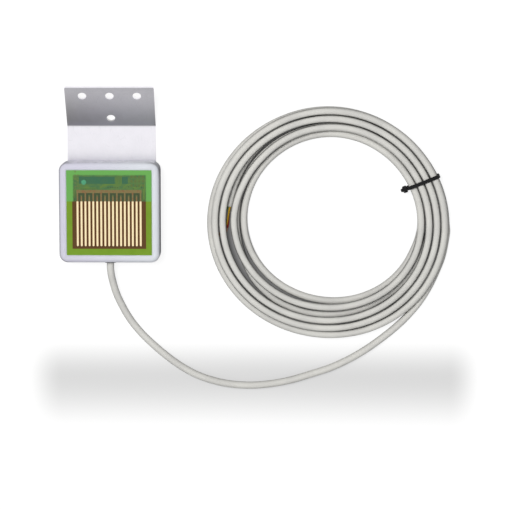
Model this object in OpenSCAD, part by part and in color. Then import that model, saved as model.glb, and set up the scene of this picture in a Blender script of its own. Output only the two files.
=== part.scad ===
// Heated rain sensor: a square housing with a comb-shaped sensing board in its face, a bent
// mounting bracket behind it and a long signal cable wound into a tied coil.
// The sensor lies on its bracket plate: the face looks along +Z, the cable leaves along -Y,
// and the origin is the centre of the housing on the underside of the bracket plate.

/* [Housing] */
// Side of the square housing
housing_w = 69; // [68:0.5:80]
// Depth of the housing from its rear face to its front face
housing_h = 18; // [17.5:0.5:26]
// Radius of the housing's corners, seen from the front
housing_corner_r = 6; // [4:0.5:8]
// Radius of the rounded front edge
front_edge_r = 3; // [1.5:0.25:3.5]
// Thickness of the side walls
wall = 3; // [2.5:0.25:4]
// Thickness of the front wall that carries the board
front_wall = 4; // [3.5:0.25:5]

/* [Window and board] */
// Side of the square window that shows the board
window_w = 59; // [56:0.2:59.6]
// Width of the ledge under the board's edge
ledge_w = 2; // [1.5:0.25:3]
// Depth of the board's face below the housing's front face
board_sink = 0.5; // [0.2:0.1:1]
// Thickness of the board
board_t = 1.6; // [1:0.2:2]
// Width of the sealant bead round the board
sealant_w = 0.3; // [0.2:0.05:0.6]

/* [Sensing comb] */
// Number of comb fingers
finger_count = 17; // [9:2:19]
// Distance from finger to finger
finger_pitch = 2.7; // [2.2:0.02:2.8]
// Width of one finger
finger_w = 1.4; // [1:0.05:1.8]
// Length of a finger over the heated field
finger_len = 30.8; // [24:0.2:32]
// Width of the bus bar that joins the signal fingers
bus_w = 2.1; // [1.5:0.1:3]
// Gap between the heated field and the bus bar
bus_gap = 5.8; // [4:0.1:7]
// Width of the thin stubs that run on above the field
stub_w = 1; // [0.6:0.05:1.2]
// Length of the stubs above the return fingers
return_stub = 3.4; // [1:0.1:3.8]
// Height of the heated field
heater_len = 32.6; // [26:0.2:34]
// Width of the heated field
heater_w = 50.5; // [40:0.1:54]
// Height of the field's upper edge above the housing's centre
heater_top_y = 7.8; // [5:0.1:9]
// Thickness of the heater layer and of the solder mask
film_t = 0.05; // [0.05:0.01:0.1]
// Thickness of the exposed metal
metal_t = 0.1; // [0.06:0.01:0.2]

/* [Rear cover] */
// Thickness of the rear cover
cover_t = 2; // [1.8:0.1:3]
// Thickness of the gasket between cover and housing
gasket_t = 0.8; // [0.6:0.1:1.5]
// Wall left beside the cover
rebate_wall = 1.3; // [1:0.1:1.8]
// Distance of the cover screws from the housing's sides
cover_screw_inset = 6.5; // [5.9:0.1:7.5]
// Length of the cover screws
cover_screw_len = 10; // [6:1:12]

/* [Bracket] */
// Width of the bracket
bracket_w = 61; // [50:1:66]
// Thickness of the bracket's sheet
bracket_t = 1.5; // [1.5:0.1:2.5]
// Distance of the plate's lower edge below the housing's centre
plate_below = 30; // [26:1:34]
// Distance of the fold above the housing's centre
fold_y = 58; // [46:1:80]
// Angle of the tab to the plate
tab_angle = 38; // [10:1:80]
// Length of the tab from the fold to its upper edge
tab_len = 34; // [33:1:60]
// Inner radius of the fold
fold_r = 1.5; // [1:0.25:3]
// Radius of the tab's upper corners
tab_corner_r = 1.2; // [0.5:0.1:4]
// Diameter of the fixing holes
hole_d = 5.8; // [4.2:0.1:7]
// Distance between neighbouring holes in the row
hole_pitch = 18.7; // [12:0.1:20]
// Distance of the row from the tab's upper edge
row_inset = 7.5; // [5.5:0.1:10]
// Distance of the lower hole below the row
lower_hole_drop = 20; // [10:0.5:21]
// Distance of the bracket screws from the centre line
bracket_screw_x = 20; // [16:0.5:22]
// Distance between the two rows of bracket screws
bracket_screw_pitch = 36; // [30:1:38]

/* [Cable] */
// Diameter of the cable's jacket
cable_d = 5; // [4:0.1:5.4]
// Height of the cable's axis where it leaves the housing
cable_z = 9.5; // [8.5:0.1:11]
// Diameter of one insulated core
core_d = 1.3; // [1:0.05:1.5]
// Diameter of the stranded wire in a core
strand_d = 0.7; // [0.5:0.05:0.9]
// Bare length at the free end of each core
bare_len = 4; // [2:0.5:8]
// Outer diameter of the grommet's flange
grommet_flange_d = 8.4; // [8:0.1:10]
// Thickness of the grommet's outer flange
grommet_flange_t = 0.8; // [0.5:0.1:2]

/* [Cable tie] */
// Width of the strap
strap_w = 2.5; // [2:0.1:3.6]
// Thickness of the strap
strap_t = 1; // [0.8:0.1:1.1]
// Side of the square head
tie_head_w = 4.6; // [4:0.1:6]
// Depth of the head
tie_head_t = 3; // [3:0.1:5]
// Length of the strap's cut end beyond the head
tie_tail = 1.4; // [1:0.1:8]

/* [Relay] */
// Length of the relay's cap
relay_len = 15; // [15:0.5:16]
// Width of the relay's cap
relay_wid = 10; // [9.5:0.5:11]
// Height of the relay above the board
relay_h = 9; // [9:0.25:10]
// Wall of the relay's cap
cap_wall = 0.5; // [0.4:0.05:0.55]
// Angle through which the armature closes
armature_angle = 3.5; // [2:0.1:3.5]

/* [Hidden] */

// Running and seating clearances
fit = 0.05;
loose = 0.15;

// Heights of the stacked layers
rear_z = bracket_t;
cover_top_z = rear_z + cover_t;
ledge_z = cover_top_z + gasket_t;
front_z = rear_z + housing_h;
wall_z = front_z - front_wall;
board_top_z = front_z - board_sink;
board_back_z = board_top_z - board_t;
film_top_z = board_top_z + film_t;

// Outlines
cavity_w = housing_w - 2 * wall;
cavity_corner_r = max(housing_corner_r - wall, 0.5);
rebate_w = housing_w - 2 * rebate_wall;
rebate_corner_r = housing_corner_r - rebate_wall;
cover_w = rebate_w - 2 * loose;
board_w = window_w - 2 * sealant_w;
opening_w = window_w - 2 * ledge_w;
bus_y = heater_top_y + bus_gap + bus_w / 2;

// Screws
screw_r = 1.5;
screw_head_r = 2.75;
screw_head_h = 1.4;
key_r = 0.95;
key_depth = 0.9;
cover_screw_at = housing_w / 2 - cover_screw_inset;
boss_r = 3.8;
boss_foot_r = 2.8;
insert_r = 2.1;
insert_boss_r = 3.3;
insert_len = 4.6;
insert_top_z = rear_z + insert_len;
// The sheet sits a little to the right of the housing's middle
sheet_x = 0.7;
bracket_screw_len = 4.6;
clamp_screw_r = 1.25;
clamp_screw_len = 5;

// Half the width that the parts on the rear side of the board may take: they stay clear of the
// ledge round the opening and of the screw bosses in the corners
ledge_clearance = 2.2;
boss_clearance = 3;
parts_half = min(opening_w / 2 - ledge_clearance, cover_screw_at - boss_clearance);

// Places on the rear side of the board, in the strip above the heated field
strip_y = parts_half - 6.5;
relay_x = parts_half - relay_len / 2;
power_x = -0.5 * parts_half;
controller_x = -0.12 * parts_half;
resistor_x = 0.152 * parts_half;
ceramic_x = 0.264 * parts_half;
capacitor_x = 4 - parts_half;
capacitor_y = strip_y + 3;
capacitor_r = 3.15;
capacitor_h = 6.5;
capacitor_base_size = [6.6, 6.6, 1.2];
solder_row_y = strip_y - 8;
core_step = 3;

// Cable support inside the housing
clamp_inset = 11.5;
clamp_y = clamp_inset - housing_w / 2;
clamp_x = 6.5;
clamp_bar_l = 18;
clamp_bar_w = 6;
clamp_bar_t = 1.6;
clamp_head_r = 2.2;
clamp_head_h = 1.2;
post_r = 2.7;
cable_pad_w = 4;
tail_inset = 15.5;
tail_end_y = tail_inset - housing_w / 2;
cable_r = cable_d / 2;
cable_exit_y = -housing_w / 2 - grommet_flange_t;

module rounded_square(w, r) {
    square([w, w - 2 * r], center = true);
    square([w - 2 * r, w], center = true);
    for (x = [-1, 1], y = [-1, 1]) {
        translate([x * (w / 2 - r), y * (w / 2 - r)]) circle(r, $fn = 48);
    }
}

module rounded_plate(w, r, z0, z1) {
    translate([0, 0, z0]) linear_extrude(z1 - z0) rounded_square(w, r);
}

module at_corners(d) {
    for (x = [-d, d], y = [-d, d]) translate([x, y, 0]) children();
}

// Countersunk screw, its head's face at z = 0 and its shank along +Z
module countersunk_screw(len, r = screw_r) {
    difference() {
        union() {
            cylinder(h = len, r = r, $fn = 32);
            cylinder(h = screw_head_h, r1 = screw_head_r, r2 = r, $fn = 32);
        }
        translate([0, 0, -1]) cylinder(h = key_depth + 1, r = key_r, $fn = 6);
    }
}

module countersunk_hole(len, r = screw_r) {
    translate([0, 0, -1]) cylinder(h = len + 1, r = r + fit, $fn = 32);
    translate([0, 0, -fit]) {
        cylinder(h = screw_head_h, r1 = screw_head_r + 2 * fit, r2 = r + fit, $fn = 32);
    }
}

// Places of the screws that hold the bracket to the rear cover
module at_bracket_screws() {
    for (x = [-bracket_screw_x, bracket_screw_x], row = [-1, 1]) {
        translate([x, row * bracket_screw_pitch / 2, 0]) children();
    }
}

// Block with rounded corners and a rounded upper edge: two bars and four turned corners
module soft_block(w, h, corner, edge) {
    module bar_profile() {
        translate([-w / 2 + edge, 0]) square([w - 2 * edge, h]);
        translate([-w / 2, 0]) square([w, h - edge]);
        for (x = [-1, 1]) translate([x * (w / 2 - edge), h - edge]) circle(edge, $fn = 48);
    }
    module corner_profile() {
        square([corner - edge, h]);
        square([corner, h - edge]);
        intersection() {
            translate([corner - edge, h - edge]) circle(edge, $fn = 48);
            square([corner, h]);
        }
    }
    run = w - 2 * corner;
    for (a = [0, 90]) {
        rotate([0, 0, a]) translate([0, run / 2, 0]) rotate([90, 0, 0]) linear_extrude(run) bar_profile();
    }
    at_corners(w / 2 - corner) rotate_extrude($fn = 48) corner_profile();
}

module housing_frame() color([0.87, 0.87, 0.9]) {
    difference() {
        translate([0, 0, rear_z]) soft_block(housing_w, housing_h, housing_corner_r, front_edge_r);
        difference() {
            rounded_plate(cavity_w, cavity_corner_r, rear_z - 1, wall_z);
            at_corners(cover_screw_at) {
                translate([0, 0, cover_top_z]) cylinder(h = front_z, r = boss_r, $fn = 48);
            }
        }
        rounded_plate(rebate_w, rebate_corner_r, rear_z - 1, ledge_z);
        translate([-opening_w / 2, -opening_w / 2, wall_z]) cube([opening_w, opening_w, housing_h]);
        translate([-window_w / 2, -window_w / 2, board_back_z]) cube([window_w, window_w, housing_h]);
        at_corners(cover_screw_at) {
            translate([0, 0, ledge_z - 1]) cylinder(h = cover_screw_len, r = screw_r + fit, $fn = 32);
        }
        translate([0, 0, cable_z]) rotate([90, 0, 0]) {
            cylinder(h = housing_w, r = grommet_neck_r + fit, $fn = 48);
        }
    }
    at_corners(cover_screw_at) translate([0, 0, cover_top_z]) {
        foot_h = gasket_t + 0.5;
        difference() {
            cylinder(h = foot_h, r = boss_foot_r, $fn = 48);
            translate([0, 0, -1]) cylinder(h = foot_h + 2, r = screw_r + fit, $fn = 32);
        }
    }
}

module back_cover() color([0.8, 0.8, 0.83]) difference() {
    union() {
        rounded_plate(cover_w, rebate_corner_r - loose, rear_z, cover_top_z);
        at_bracket_screws() {
            translate([0, 0, rear_z]) cylinder(h = insert_top_z - rear_z, r = insert_boss_r, $fn = 48);
        }
        for (x = [-clamp_x, clamp_x]) translate([x, clamp_y, rear_z]) {
            cylinder(h = cable_z - rear_z, r = post_r, $fn = 48);
        }
        translate([-cable_pad_w / 2, clamp_y - clamp_bar_w / 2, rear_z]) {
            cube([cable_pad_w, clamp_bar_w, cable_z - cable_r - rear_z - fit]);
        }
    }
    at_corners(cover_screw_at) translate([0, 0, rear_z]) countersunk_hole(cover_t + 1);
    at_bracket_screws() {
        translate([0, 0, rear_z - 1]) cylinder(h = insert_top_z, r = insert_r + fit, $fn = 48);
    }
    for (x = [-clamp_x, clamp_x]) translate([x, clamp_y, cover_top_z]) {
        cylinder(h = cable_z, r = clamp_screw_r + fit, $fn = 32);
    }
}

module cover_gasket() color([0.15, 0.15, 0.16]) difference() {
    rounded_plate(rebate_w - 2 * loose, rebate_corner_r - loose, cover_top_z, ledge_z);
    rounded_plate(cavity_w, cavity_corner_r, cover_top_z - 1, ledge_z + 1);
    at_corners(cover_screw_at) translate([0, 0, rear_z]) {
        cylinder(h = housing_h, r = boss_foot_r + fit, $fn = 48);
    }
}

module cover_screws() color([0.6, 0.6, 0.62]) {
    at_corners(cover_screw_at) translate([0, 0, rear_z]) countersunk_screw(cover_screw_len);
}

module board_sealant() color([0.9, 0.9, 0.92]) {
    translate([0, 0, board_back_z]) linear_extrude(board_t) difference() {
        square(window_w, center = true);
        square(board_w, center = true);
    }
}

// Side view of the bent sheet: plate, fold and tab
module bracket_profile() {
    outer_r = fold_r + bracket_t;
    translate([-plate_below, 0]) square([plate_below + fold_y, bracket_t]);
    translate([fold_y, outer_r]) {
        intersection() {
            difference() {
                circle(outer_r, $fn = 96);
                circle(fold_r, $fn = 96);
            }
            polygon(2 * outer_r * [[0, 0], [0, -1], [sin(tab_angle), -cos(tab_angle)]]);
        }
        rotate(tab_angle) translate([0, -outer_r]) square([tab_len, bracket_t]);
    }
}

// A place on the tab's outer face: across from the middle, and along from the fold
module on_tab(x, along) {
    translate([0, fold_y, fold_r + bracket_t]) rotate([tab_angle, 0, 0]) {
        translate([x, along, -fold_r - bracket_t]) children();
    }
}

// What a rounded corner takes away, round the arc's centre; its first and last edges run on outwards
module corner_cut(r) {
    arc = [for (a = [0:15:90]) r * [cos(a), sin(a)]];
    polygon(concat(
        [2 * arc[0] - arc[1]],
        [for (i = [1:5]) arc[i]],
        [2 * arc[6] - arc[5], [2 * r, 2 * r]]
    ));
}

module bracket_sheet() difference() {
    row_y = tab_len - row_inset;
    rotate([90, 0, 90]) linear_extrude(bracket_w, center = true) bracket_profile();
    for (at = [[-hole_pitch, row_y], [0, row_y], [hole_pitch, row_y], [0, row_y - lower_hole_drop]]) {
        on_tab(at[0], at[1]) translate([0, 0, -1]) cylinder(h = bracket_t + 2, r = hole_d / 2, $fn = 48);
    }
    for (side = [0, 1]) mirror([side, 0, 0]) on_tab(bracket_w / 2 - tab_corner_r, tab_len - tab_corner_r) {
        translate([0, 0, -1]) linear_extrude(bracket_t + 2) corner_cut(tab_corner_r);
    }
}

module bracket() color([0.85, 0.85, 0.87]) difference() {
    translate([sheet_x, 0, 0]) bracket_sheet();
    at_bracket_screws() countersunk_hole(bracket_t + 1);
}

module bracket_screws() color([0.6, 0.6, 0.62]) {
    at_bracket_screws() countersunk_screw(bracket_screw_len);
}

module bracket_inserts() color([0.78, 0.62, 0.3]) {
    at_bracket_screws() difference() {
        translate([0, 0, rear_z]) cylinder(h = insert_top_z - rear_z, r = insert_r, $fn = 48);
        cylinder(h = housing_h, r = screw_r + fit, $fn = 32);
    }
}

module sensor_board() color([0.42, 0.55, 0.22]) {
    translate([-board_w / 2, -board_w / 2, board_back_z]) cube([board_w, board_w, board_t]);
}

module solder_mask() color([0.28, 0.5, 0.32]) {
    translate([-board_w / 2, heater_top_y, board_top_z]) cube([board_w, board_w / 2 - heater_top_y, film_t]);
}

module heater_layer() color([0.4, 0.28, 0.18]) {
    translate([-heater_w / 2, heater_top_y - heater_len, board_top_z]) cube([heater_w, heater_len, film_t]);
}

function finger_x(i) = (i - (finger_count - 1) / 2) * finger_pitch;

// One finger: a strip with a round lower end and a thin stub that runs on to the given height
module finger(x, top_y) {
    round_y = heater_top_y - finger_len + finger_w / 2;
    translate([x - finger_w / 2, round_y, film_top_z]) cube([finger_w, heater_top_y - round_y, metal_t]);
    translate([x, round_y, film_top_z]) cylinder(h = metal_t, r = finger_w / 2, $fn = 24);
    translate([x - stub_w / 2, round_y, film_top_z]) cube([stub_w, top_y - round_y, metal_t]);
}

module comb_signal() color([0.95, 0.88, 0.65]) {
    for (i = [0:2:finger_count - 1]) finger(finger_x(i), bus_y);
    half_bus = finger_x(finger_count - 1) + finger_w / 2;
    translate([-half_bus, bus_y - bus_w / 2, film_top_z]) cube([2 * half_bus, bus_w, metal_t]);
}

module comb_return() color([0.95, 0.88, 0.65]) {
    for (i = [1:2:finger_count - 2]) finger(finger_x(i), heater_top_y + return_stub);
}

via_r = 0.6;
via_column_x = -23;
via_column_step = 2.6;
via_column_count = 5;
via_column_top_y = board_w / 2 - 0.85;
pad_y = bus_y + 5.3;
pad_h = 4.8;
long_pad_x = [-20.5, 4];
short_pad_x = [9, 13];
grid_x = 14.8;
grid_step = [2.6, 3];
grid_pad = [1.5, 1.8];
grid_drop = 0.9;

module ring(outer, inner, h) {
    difference() {
        cylinder(h = h, r = outer, $fn = 24);
        translate([0, 0, -1]) cylinder(h = h + 2, r = inner, $fn = 24);
    }
}

// Small plated rings: one above each return finger, and a column at the side
module plated_vias() color([0.7, 0.72, 0.4]) {
    for (i = [1:2:finger_count - 2]) {
        translate([finger_x(i), heater_top_y + return_stub + via_r, film_top_z]) {
            ring(via_r, via_r / 2, metal_t);
        }
    }
    for (i = [0:via_column_count - 1]) {
        translate([via_column_x, via_column_top_y - via_column_step * i, film_top_z]) {
            ring(via_r, via_r / 2, metal_t);
        }
    }
}

// Bare copper fields and the grid of test pads, in the strip above the bus bar
module control_pads() color([0.35, 0.55, 0.4]) {
    for (x = [long_pad_x, short_pad_x]) {
        translate([x[0], pad_y, film_top_z]) cube([x[1] - x[0], pad_h, metal_t]);
    }
    for (i = [0:3], k = [-1:1]) {
        translate([grid_x + grid_step[0] * i, pad_y + grid_drop + grid_step[1] * k, film_top_z]) {
            cube([grid_pad[0], grid_pad[1], metal_t]);
        }
    }
}

// What follows hangs from the rear side of the board: its own +Z points away from the board
module on_board(x, y) {
    translate([x, y, board_back_z]) rotate([180, 0, 0]) children();
}

module chip(size) {
    translate([-size[0] / 2, -size[1] / 2, 0]) cube(size);
}

controller_size = [8.7, 3.9, 1.5];
controller_standoff = 0.1;
controller_y = strip_y + 1.5;
lead_pitch = 1.27;
leads_per_side = 7;
lead_w = 0.4;
lead_t = 0.15;
lead_reach = 1.05;
lead_shoulder_z = 0.8;

module microcontroller() color([0.12, 0.12, 0.13]) {
    dot_r = 0.4;
    dot_at = [2 * dot_r - controller_size[0] / 2, controller_size[1] / 2 - 2 * dot_r];
    on_board(controller_x, controller_y) translate([0, 0, controller_standoff]) difference() {
        chip(controller_size);
        translate([dot_at[0], dot_at[1], controller_size[2] - 0.2]) cylinder(h = 1, r = dot_r, $fn = 24);
    }
}

// Gull-wing leads on both long sides: out of the body, down and out along the board
module microcontroller_leads() color([0.75, 0.75, 0.77]) {
    knee = lead_reach / 2;
    on_board(controller_x, controller_y) for (i = [0:leads_per_side - 1], turn = [0, 180]) {
        lead_x = (i - (leads_per_side - 1) / 2) * lead_pitch - lead_w / 2;
        rotate([0, 0, turn]) translate([lead_x, controller_size[1] / 2, 0]) {
            translate([0, 0, lead_shoulder_z - lead_t]) cube([lead_w, knee, lead_t]);
            translate([0, knee - lead_t, 0]) cube([lead_w, lead_t, lead_shoulder_z]);
            translate([0, knee - lead_t, 0]) cube([lead_w, lead_reach - knee + lead_t, lead_t]);
        }
    }
}

regulator_size = [6.5, 3.5, 1.6];
regulator_lead = [0.7, 1.4, 0.3];
regulator_tab = [3, 1.4, 0.3];
power_lead_pitch = 2.3;

module voltage_regulator() color([0.14, 0.14, 0.15]) on_board(power_x, strip_y + 4) {
    chip(regulator_size);
    for (x = [-1, 0, 1]) translate([x * power_lead_pitch, (regulator_size[1] + regulator_lead[1]) / 2, 0]) {
        chip(regulator_lead);
    }
    translate([0, -(regulator_size[1] + regulator_tab[1]) / 2, 0]) chip(regulator_tab);
}

transistor_size = [6.5, 6.1, 2.3];
transistor_lead = [0.8, 1.8, 0.5];
transistor_tab = [5.2, 0.8, 0.5];

module heater_transistor() color([0.14, 0.14, 0.15]) on_board(power_x, strip_y - 5) {
    chip(transistor_size);
    for (x = [-1, 1]) translate([x * power_lead_pitch, (transistor_size[1] + transistor_lead[1]) / 2, 0]) {
        chip(transistor_lead);
    }
    translate([0, -(transistor_size[1] + transistor_tab[1]) / 2, 0]) chip(transistor_tab);
}

module bulk_capacitor() color([0.75, 0.75, 0.77]) {
    on_board(capacitor_x, capacitor_y) {
        translate([0, 0, capacitor_base_size[2]]) cylinder(h = capacitor_h, r = capacitor_r, $fn = 48);
    }
}

module capacitor_base() color([0.1, 0.1, 0.1]) {
    on_board(capacitor_x, capacitor_y) chip(capacitor_base_size);
}

diode_size = [4.2, 3.4, 2.1];
diode_lead = [5, 1.8, 0.5];

module rectifier_diodes() color([0.13, 0.13, 0.14]) {
    for (y = [solder_row_y + 3, solder_row_y - 2]) on_board(capacitor_x, y) {
        chip(diode_size);
        chip(diode_lead);
    }
}

resistor_size = [2, 1.25, 0.5];
power_resistor_size = [3.2, 1.6, 0.6];
ceramic_size = [2, 1.25, 0.9];

// A row of equal chips, from its first place and by its step
module chip_row(count, first, step, size, turn = 0) {
    for (i = [0:count - 1]) on_board(first[0] + i * step[0], first[1] + i * step[1]) {
        rotate([0, 0, turn]) chip(size);
    }
}

module chip_resistors() color([0.1, 0.1, 0.11]) {
    chip_row(4, [resistor_x, strip_y - 4], [0, 2.6], resistor_size);
    chip_row(3, [controller_x - 4.5, strip_y - 4.5], [3, 0], resistor_size);
    chip_row(5, [-12, -12], [6, 0], power_resistor_size);
}

module ceramic_capacitors() color([0.72, 0.6, 0.45]) {
    chip_row(3, [ceramic_x, strip_y - 2], [0, 3], ceramic_size, 90);
    chip_row(2, [controller_x - 4, strip_y + 6], [4, 0], ceramic_size);
}

// Places of the four cores along the solder row
function core_x(i) = (i - 1.5) * core_step;

joint_h = 0.8;
joint_r = 1.1;

module solder_joints() color([0.8, 0.8, 0.82]) {
    for (i = [0:3]) on_board(core_x(i), solder_row_y) {
        cylinder(h = joint_h, r1 = joint_r, r2 = core_d / 2, $fn = 32);
    }
}

// Relay, in its own frame: +Z points away from the board
module in_relay() on_board(relay_x, strip_y) children();

cap_in_l = relay_len - 2 * cap_wall;
cap_in_w = relay_wid - 2 * cap_wall;
relay_base_t = 1.2;
terminal_size = [0.8, 1, 0.3];
yoke_t = 0.6;
yoke_x = -5.8;
yoke_w = 5;
yoke_len = 7.4;
yoke_top = 7;
pivot_x = yoke_x + yoke_t / 2;
magnet_x = -1.5;
core_r = 1.1;
armature_t = 0.6;
armature_l = 6.8;
armature_w = 4.4;
armature_z = yoke_top + fit;
pole_z = armature_z - (magnet_x + core_r - pivot_x) * tan(armature_angle) - fit;
contact_x = 4.8;
contact_r = 0.5;
contact_h = 0.2;
button_below = 0.4;
button_above = 0.3;
leaf_x = -1;
leaf_w = 2;
leaf_t = 0.15;
leaf_z = armature_z + armature_t;
strip_t = 0.3;
tongue_start_x = contact_x - 0.6;
open_strip_x = 6;
rest_strip_x = 6.55;
open_contact_z = leaf_z - button_below - (contact_x + contact_r - pivot_x) * tan(armature_angle) - fit;
rest_contact_z = leaf_z + button_above + fit;

module relay_base() color([0.2, 0.2, 0.22]) {
    in_relay() chip([cap_in_l - 2 * fit, cap_in_w - 2 * fit, relay_base_t]);
}

module relay_terminals() color([0.78, 0.78, 0.8]) {
    in_relay() for (x = [-5.5, -1.5, 2.5, 5.5], side = [-1, 1]) {
        translate([x, side * ((relay_wid + terminal_size[1]) / 2 + fit), 0]) chip(terminal_size);
    }
}

module relay_yoke() color([0.6, 0.6, 0.62]) {
    in_relay() difference() {
        translate([yoke_x, -yoke_w / 2, relay_base_t]) {
            cube([yoke_len, yoke_w, yoke_t]);
            cube([yoke_t, yoke_w, yoke_top - relay_base_t]);
        }
        translate([magnet_x, 0, 0]) cylinder(h = relay_h, r = core_r, $fn = 32);
    }
}

module relay_core() color([0.65, 0.65, 0.67]) {
    in_relay() translate([magnet_x, 0, relay_base_t]) {
        cylinder(h = pole_z - relay_base_t, r = core_r, $fn = 32);
    }
}

bobbin_z = relay_base_t + yoke_t;
bobbin_h = pole_z - 0.2 - bobbin_z;
bobbin_r = 2.9;
bobbin_hub_r = 1.5;
flange_t = 0.5;

module relay_bobbin() color([0.9, 0.9, 0.85]) {
    in_relay() translate([magnet_x, 0, bobbin_z]) difference() {
        union() {
            cylinder(h = bobbin_h, r = bobbin_hub_r, $fn = 48);
            for (z = [0, bobbin_h - flange_t]) translate([0, 0, z]) {
                cylinder(h = flange_t, r = bobbin_r, $fn = 48);
            }
        }
        translate([0, 0, -1]) cylinder(h = relay_h, r = core_r + fit, $fn = 32);
    }
}

module relay_winding() color([0.72, 0.42, 0.2]) {
    in_relay() translate([magnet_x, 0, bobbin_z + flange_t]) {
        ring(bobbin_r - 0.2, bobbin_hub_r, bobbin_h - 2 * flange_t);
    }
}

module relay_armature() color([0.7, 0.7, 0.72]) {
    in_relay() translate([yoke_x, -armature_w / 2, armature_z]) cube([armature_l, armature_w, armature_t]);
}

// Leaf spring with the contact button on its end
module relay_moving_contact() color([0.85, 0.65, 0.4]) in_relay() {
    translate([leaf_x, -leaf_w / 2, leaf_z]) cube([contact_x + 2 * contact_r - leaf_x, leaf_w, leaf_t]);
    translate([contact_x, 0, leaf_z - button_below]) {
        cylinder(h = button_below + button_above, r = contact_r, $fn = 24);
    }
}

// Upright strip with a tongue that reaches in at its top, which lies at the given height
module contact_strip(x, top_z) {
    translate([x, -leaf_w / 2, relay_base_t]) cube([strip_t, leaf_w, top_z - relay_base_t]);
    translate([tongue_start_x, -leaf_w / 2, top_z - strip_t]) {
        cube([x + strip_t - tongue_start_x, leaf_w, strip_t]);
    }
}

module relay_open_contact() color([0.85, 0.65, 0.4]) in_relay() {
    contact_strip(open_strip_x, open_contact_z - contact_h);
    translate([contact_x, 0, open_contact_z - contact_h]) cylinder(h = contact_h, r = contact_r, $fn = 24);
}

module relay_rest_contact() color([0.85, 0.65, 0.4]) {
    in_relay() contact_strip(rest_strip_x, rest_contact_z + strip_t);
}

module relay_cap() color([0.85, 0.85, 0.8]) {
    in_relay() difference() {
        chip([relay_len, relay_wid, relay_h]);
        translate([0, 0, -1]) chip([cap_in_l, cap_in_w, relay_h - cap_wall + 1]);
    }
}

// Cable entry
grommet_neck_r = cable_r + 1.1;
grommet_inner_t = 1;

module cable_grommet() color([0.2, 0.2, 0.21]) {
    translate([0, cable_exit_y, cable_z]) rotate([-90, 0, 0]) difference() {
        union() {
            cylinder(h = grommet_flange_t, r = grommet_flange_d / 2, $fn = 48);
            cylinder(h = grommet_flange_t + wall + grommet_inner_t, r = grommet_neck_r, $fn = 48);
            translate([0, 0, grommet_flange_t + wall + fit]) {
                cylinder(h = grommet_inner_t, r = grommet_flange_d / 2, $fn = 48);
            }
        }
        translate([0, 0, -1]) cylinder(h = 3 * wall, r = cable_r + fit, $fn = 48);
    }
}

module cable_tail() color([0.84, 0.84, 0.82]) {
    translate([0, cable_exit_y, cable_z]) rotate([-90, 0, 0]) {
        cylinder(h = tail_end_y - cable_exit_y, r = cable_r, $fn = 32);
    }
}

clamp_top_z = cable_z + cable_r + fit + clamp_bar_t;

module cable_clamp() color([0.2, 0.2, 0.21]) difference() {
    translate([-clamp_bar_l / 2, clamp_y - clamp_bar_w / 2, cable_z]) {
        cube([clamp_bar_l, clamp_bar_w, clamp_top_z - cable_z]);
    }
    translate([0, 0, cable_z]) rotate([90, 0, 0]) {
        cylinder(h = 2 * housing_w, r = cable_r + fit, center = true, $fn = 48);
    }
    for (x = [-clamp_x, clamp_x]) translate([x, clamp_y, 0]) {
        cylinder(h = 2 * clamp_top_z, r = clamp_screw_r + fit, $fn = 32);
    }
}

module clamp_screws() color([0.6, 0.6, 0.62]) {
    for (x = [-clamp_x, clamp_x]) translate([x, clamp_y, clamp_top_z - clamp_screw_len]) difference() {
        union() {
            cylinder(h = clamp_screw_len, r = clamp_screw_r, $fn = 32);
            translate([0, 0, clamp_screw_len]) cylinder(h = clamp_head_h, r = clamp_head_r, $fn = 32);
        }
        translate([0, 0, clamp_screw_len + clamp_head_h / 2]) cylinder(h = 2, r = key_r, $fn = 6);
    }
}

// Sweeping: a closed tube of round cross-section along a list of points
function unit(v) = v / norm(v);
function heading(p, i) = unit(p[min(i + 1, len(p) - 1)] - p[max(i - 1, 0)]);
function side_of(t, up) = unit(cross(t, up));
function tube_ring(c, t, r, up, n) =
    let (s = side_of(t, up), b = cross(s, t))
    [for (k = [0:n - 1]) c + r * (cos(360 * k / n) * s + sin(360 * k / n) * b)];

module tube(p, r, n, up = [0, 0, 1]) {
    last = len(p) - 1;
    points = [for (i = [0:last]) each tube_ring(p[i], heading(p, i), r, up, n)];
    sides = [for (i = [0:last - 1], k = [0:n - 1], half = [0, 1])
        let (a = i * n + k, b = i * n + (k + 1) % n)
        half == 0 ? [a, a + n, b] : [b, a + n, b + n]];
    caps = [for (k = [1:n - 2], end = [0, 1])
        end == 0 ? [0, k, k + 1] : [last * n, last * n + k + 1, last * n + k]];
    polyhedron(points = points, faces = concat(sides, caps));
}

// Inner cores: from the jacket's end to the solder row
core_spread = 0.85;
function inner_core_points(i) =
    let (x0 = (i % 2 == 0 ? -1 : 1) * core_spread, z0 = cable_z + (i < 2 ? 1 : -1) * core_spread,
        x1 = core_x([0, 2, 1, 3][i]), lift = i < 2 ? 0 : -1.8,
        pad_z = board_back_z - joint_h, span = solder_row_y - tail_end_y)
    [[x0, tail_end_y, z0], [x0, tail_end_y + 2, z0],
        [x0 + (x1 - x0) * 0.35, tail_end_y + 0.3 * span, z0 + lift * 0.3],
        [x0 + (x1 - x0) * 0.75, tail_end_y + 0.55 * span, z0 + lift * 0.6 + 0.4],
        [x1, tail_end_y + 0.75 * span, z0 + lift * 0.6 + 1.2],
        [x1, solder_row_y - 3.4, pad_z - 4.4 + lift * 0.4],
        [x1, solder_row_y - 1.4, pad_z - 3.2 + lift * 0.3],
        [x1, solder_row_y - 0.3, pad_z - 1.9],
        [x1, solder_row_y, pad_z - 0.8],
        [x1, solder_row_y, pad_z]];

module inner_core(i) tube(inner_core_points(i), core_d / 2, 8, [1, 0, 0]);

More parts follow.
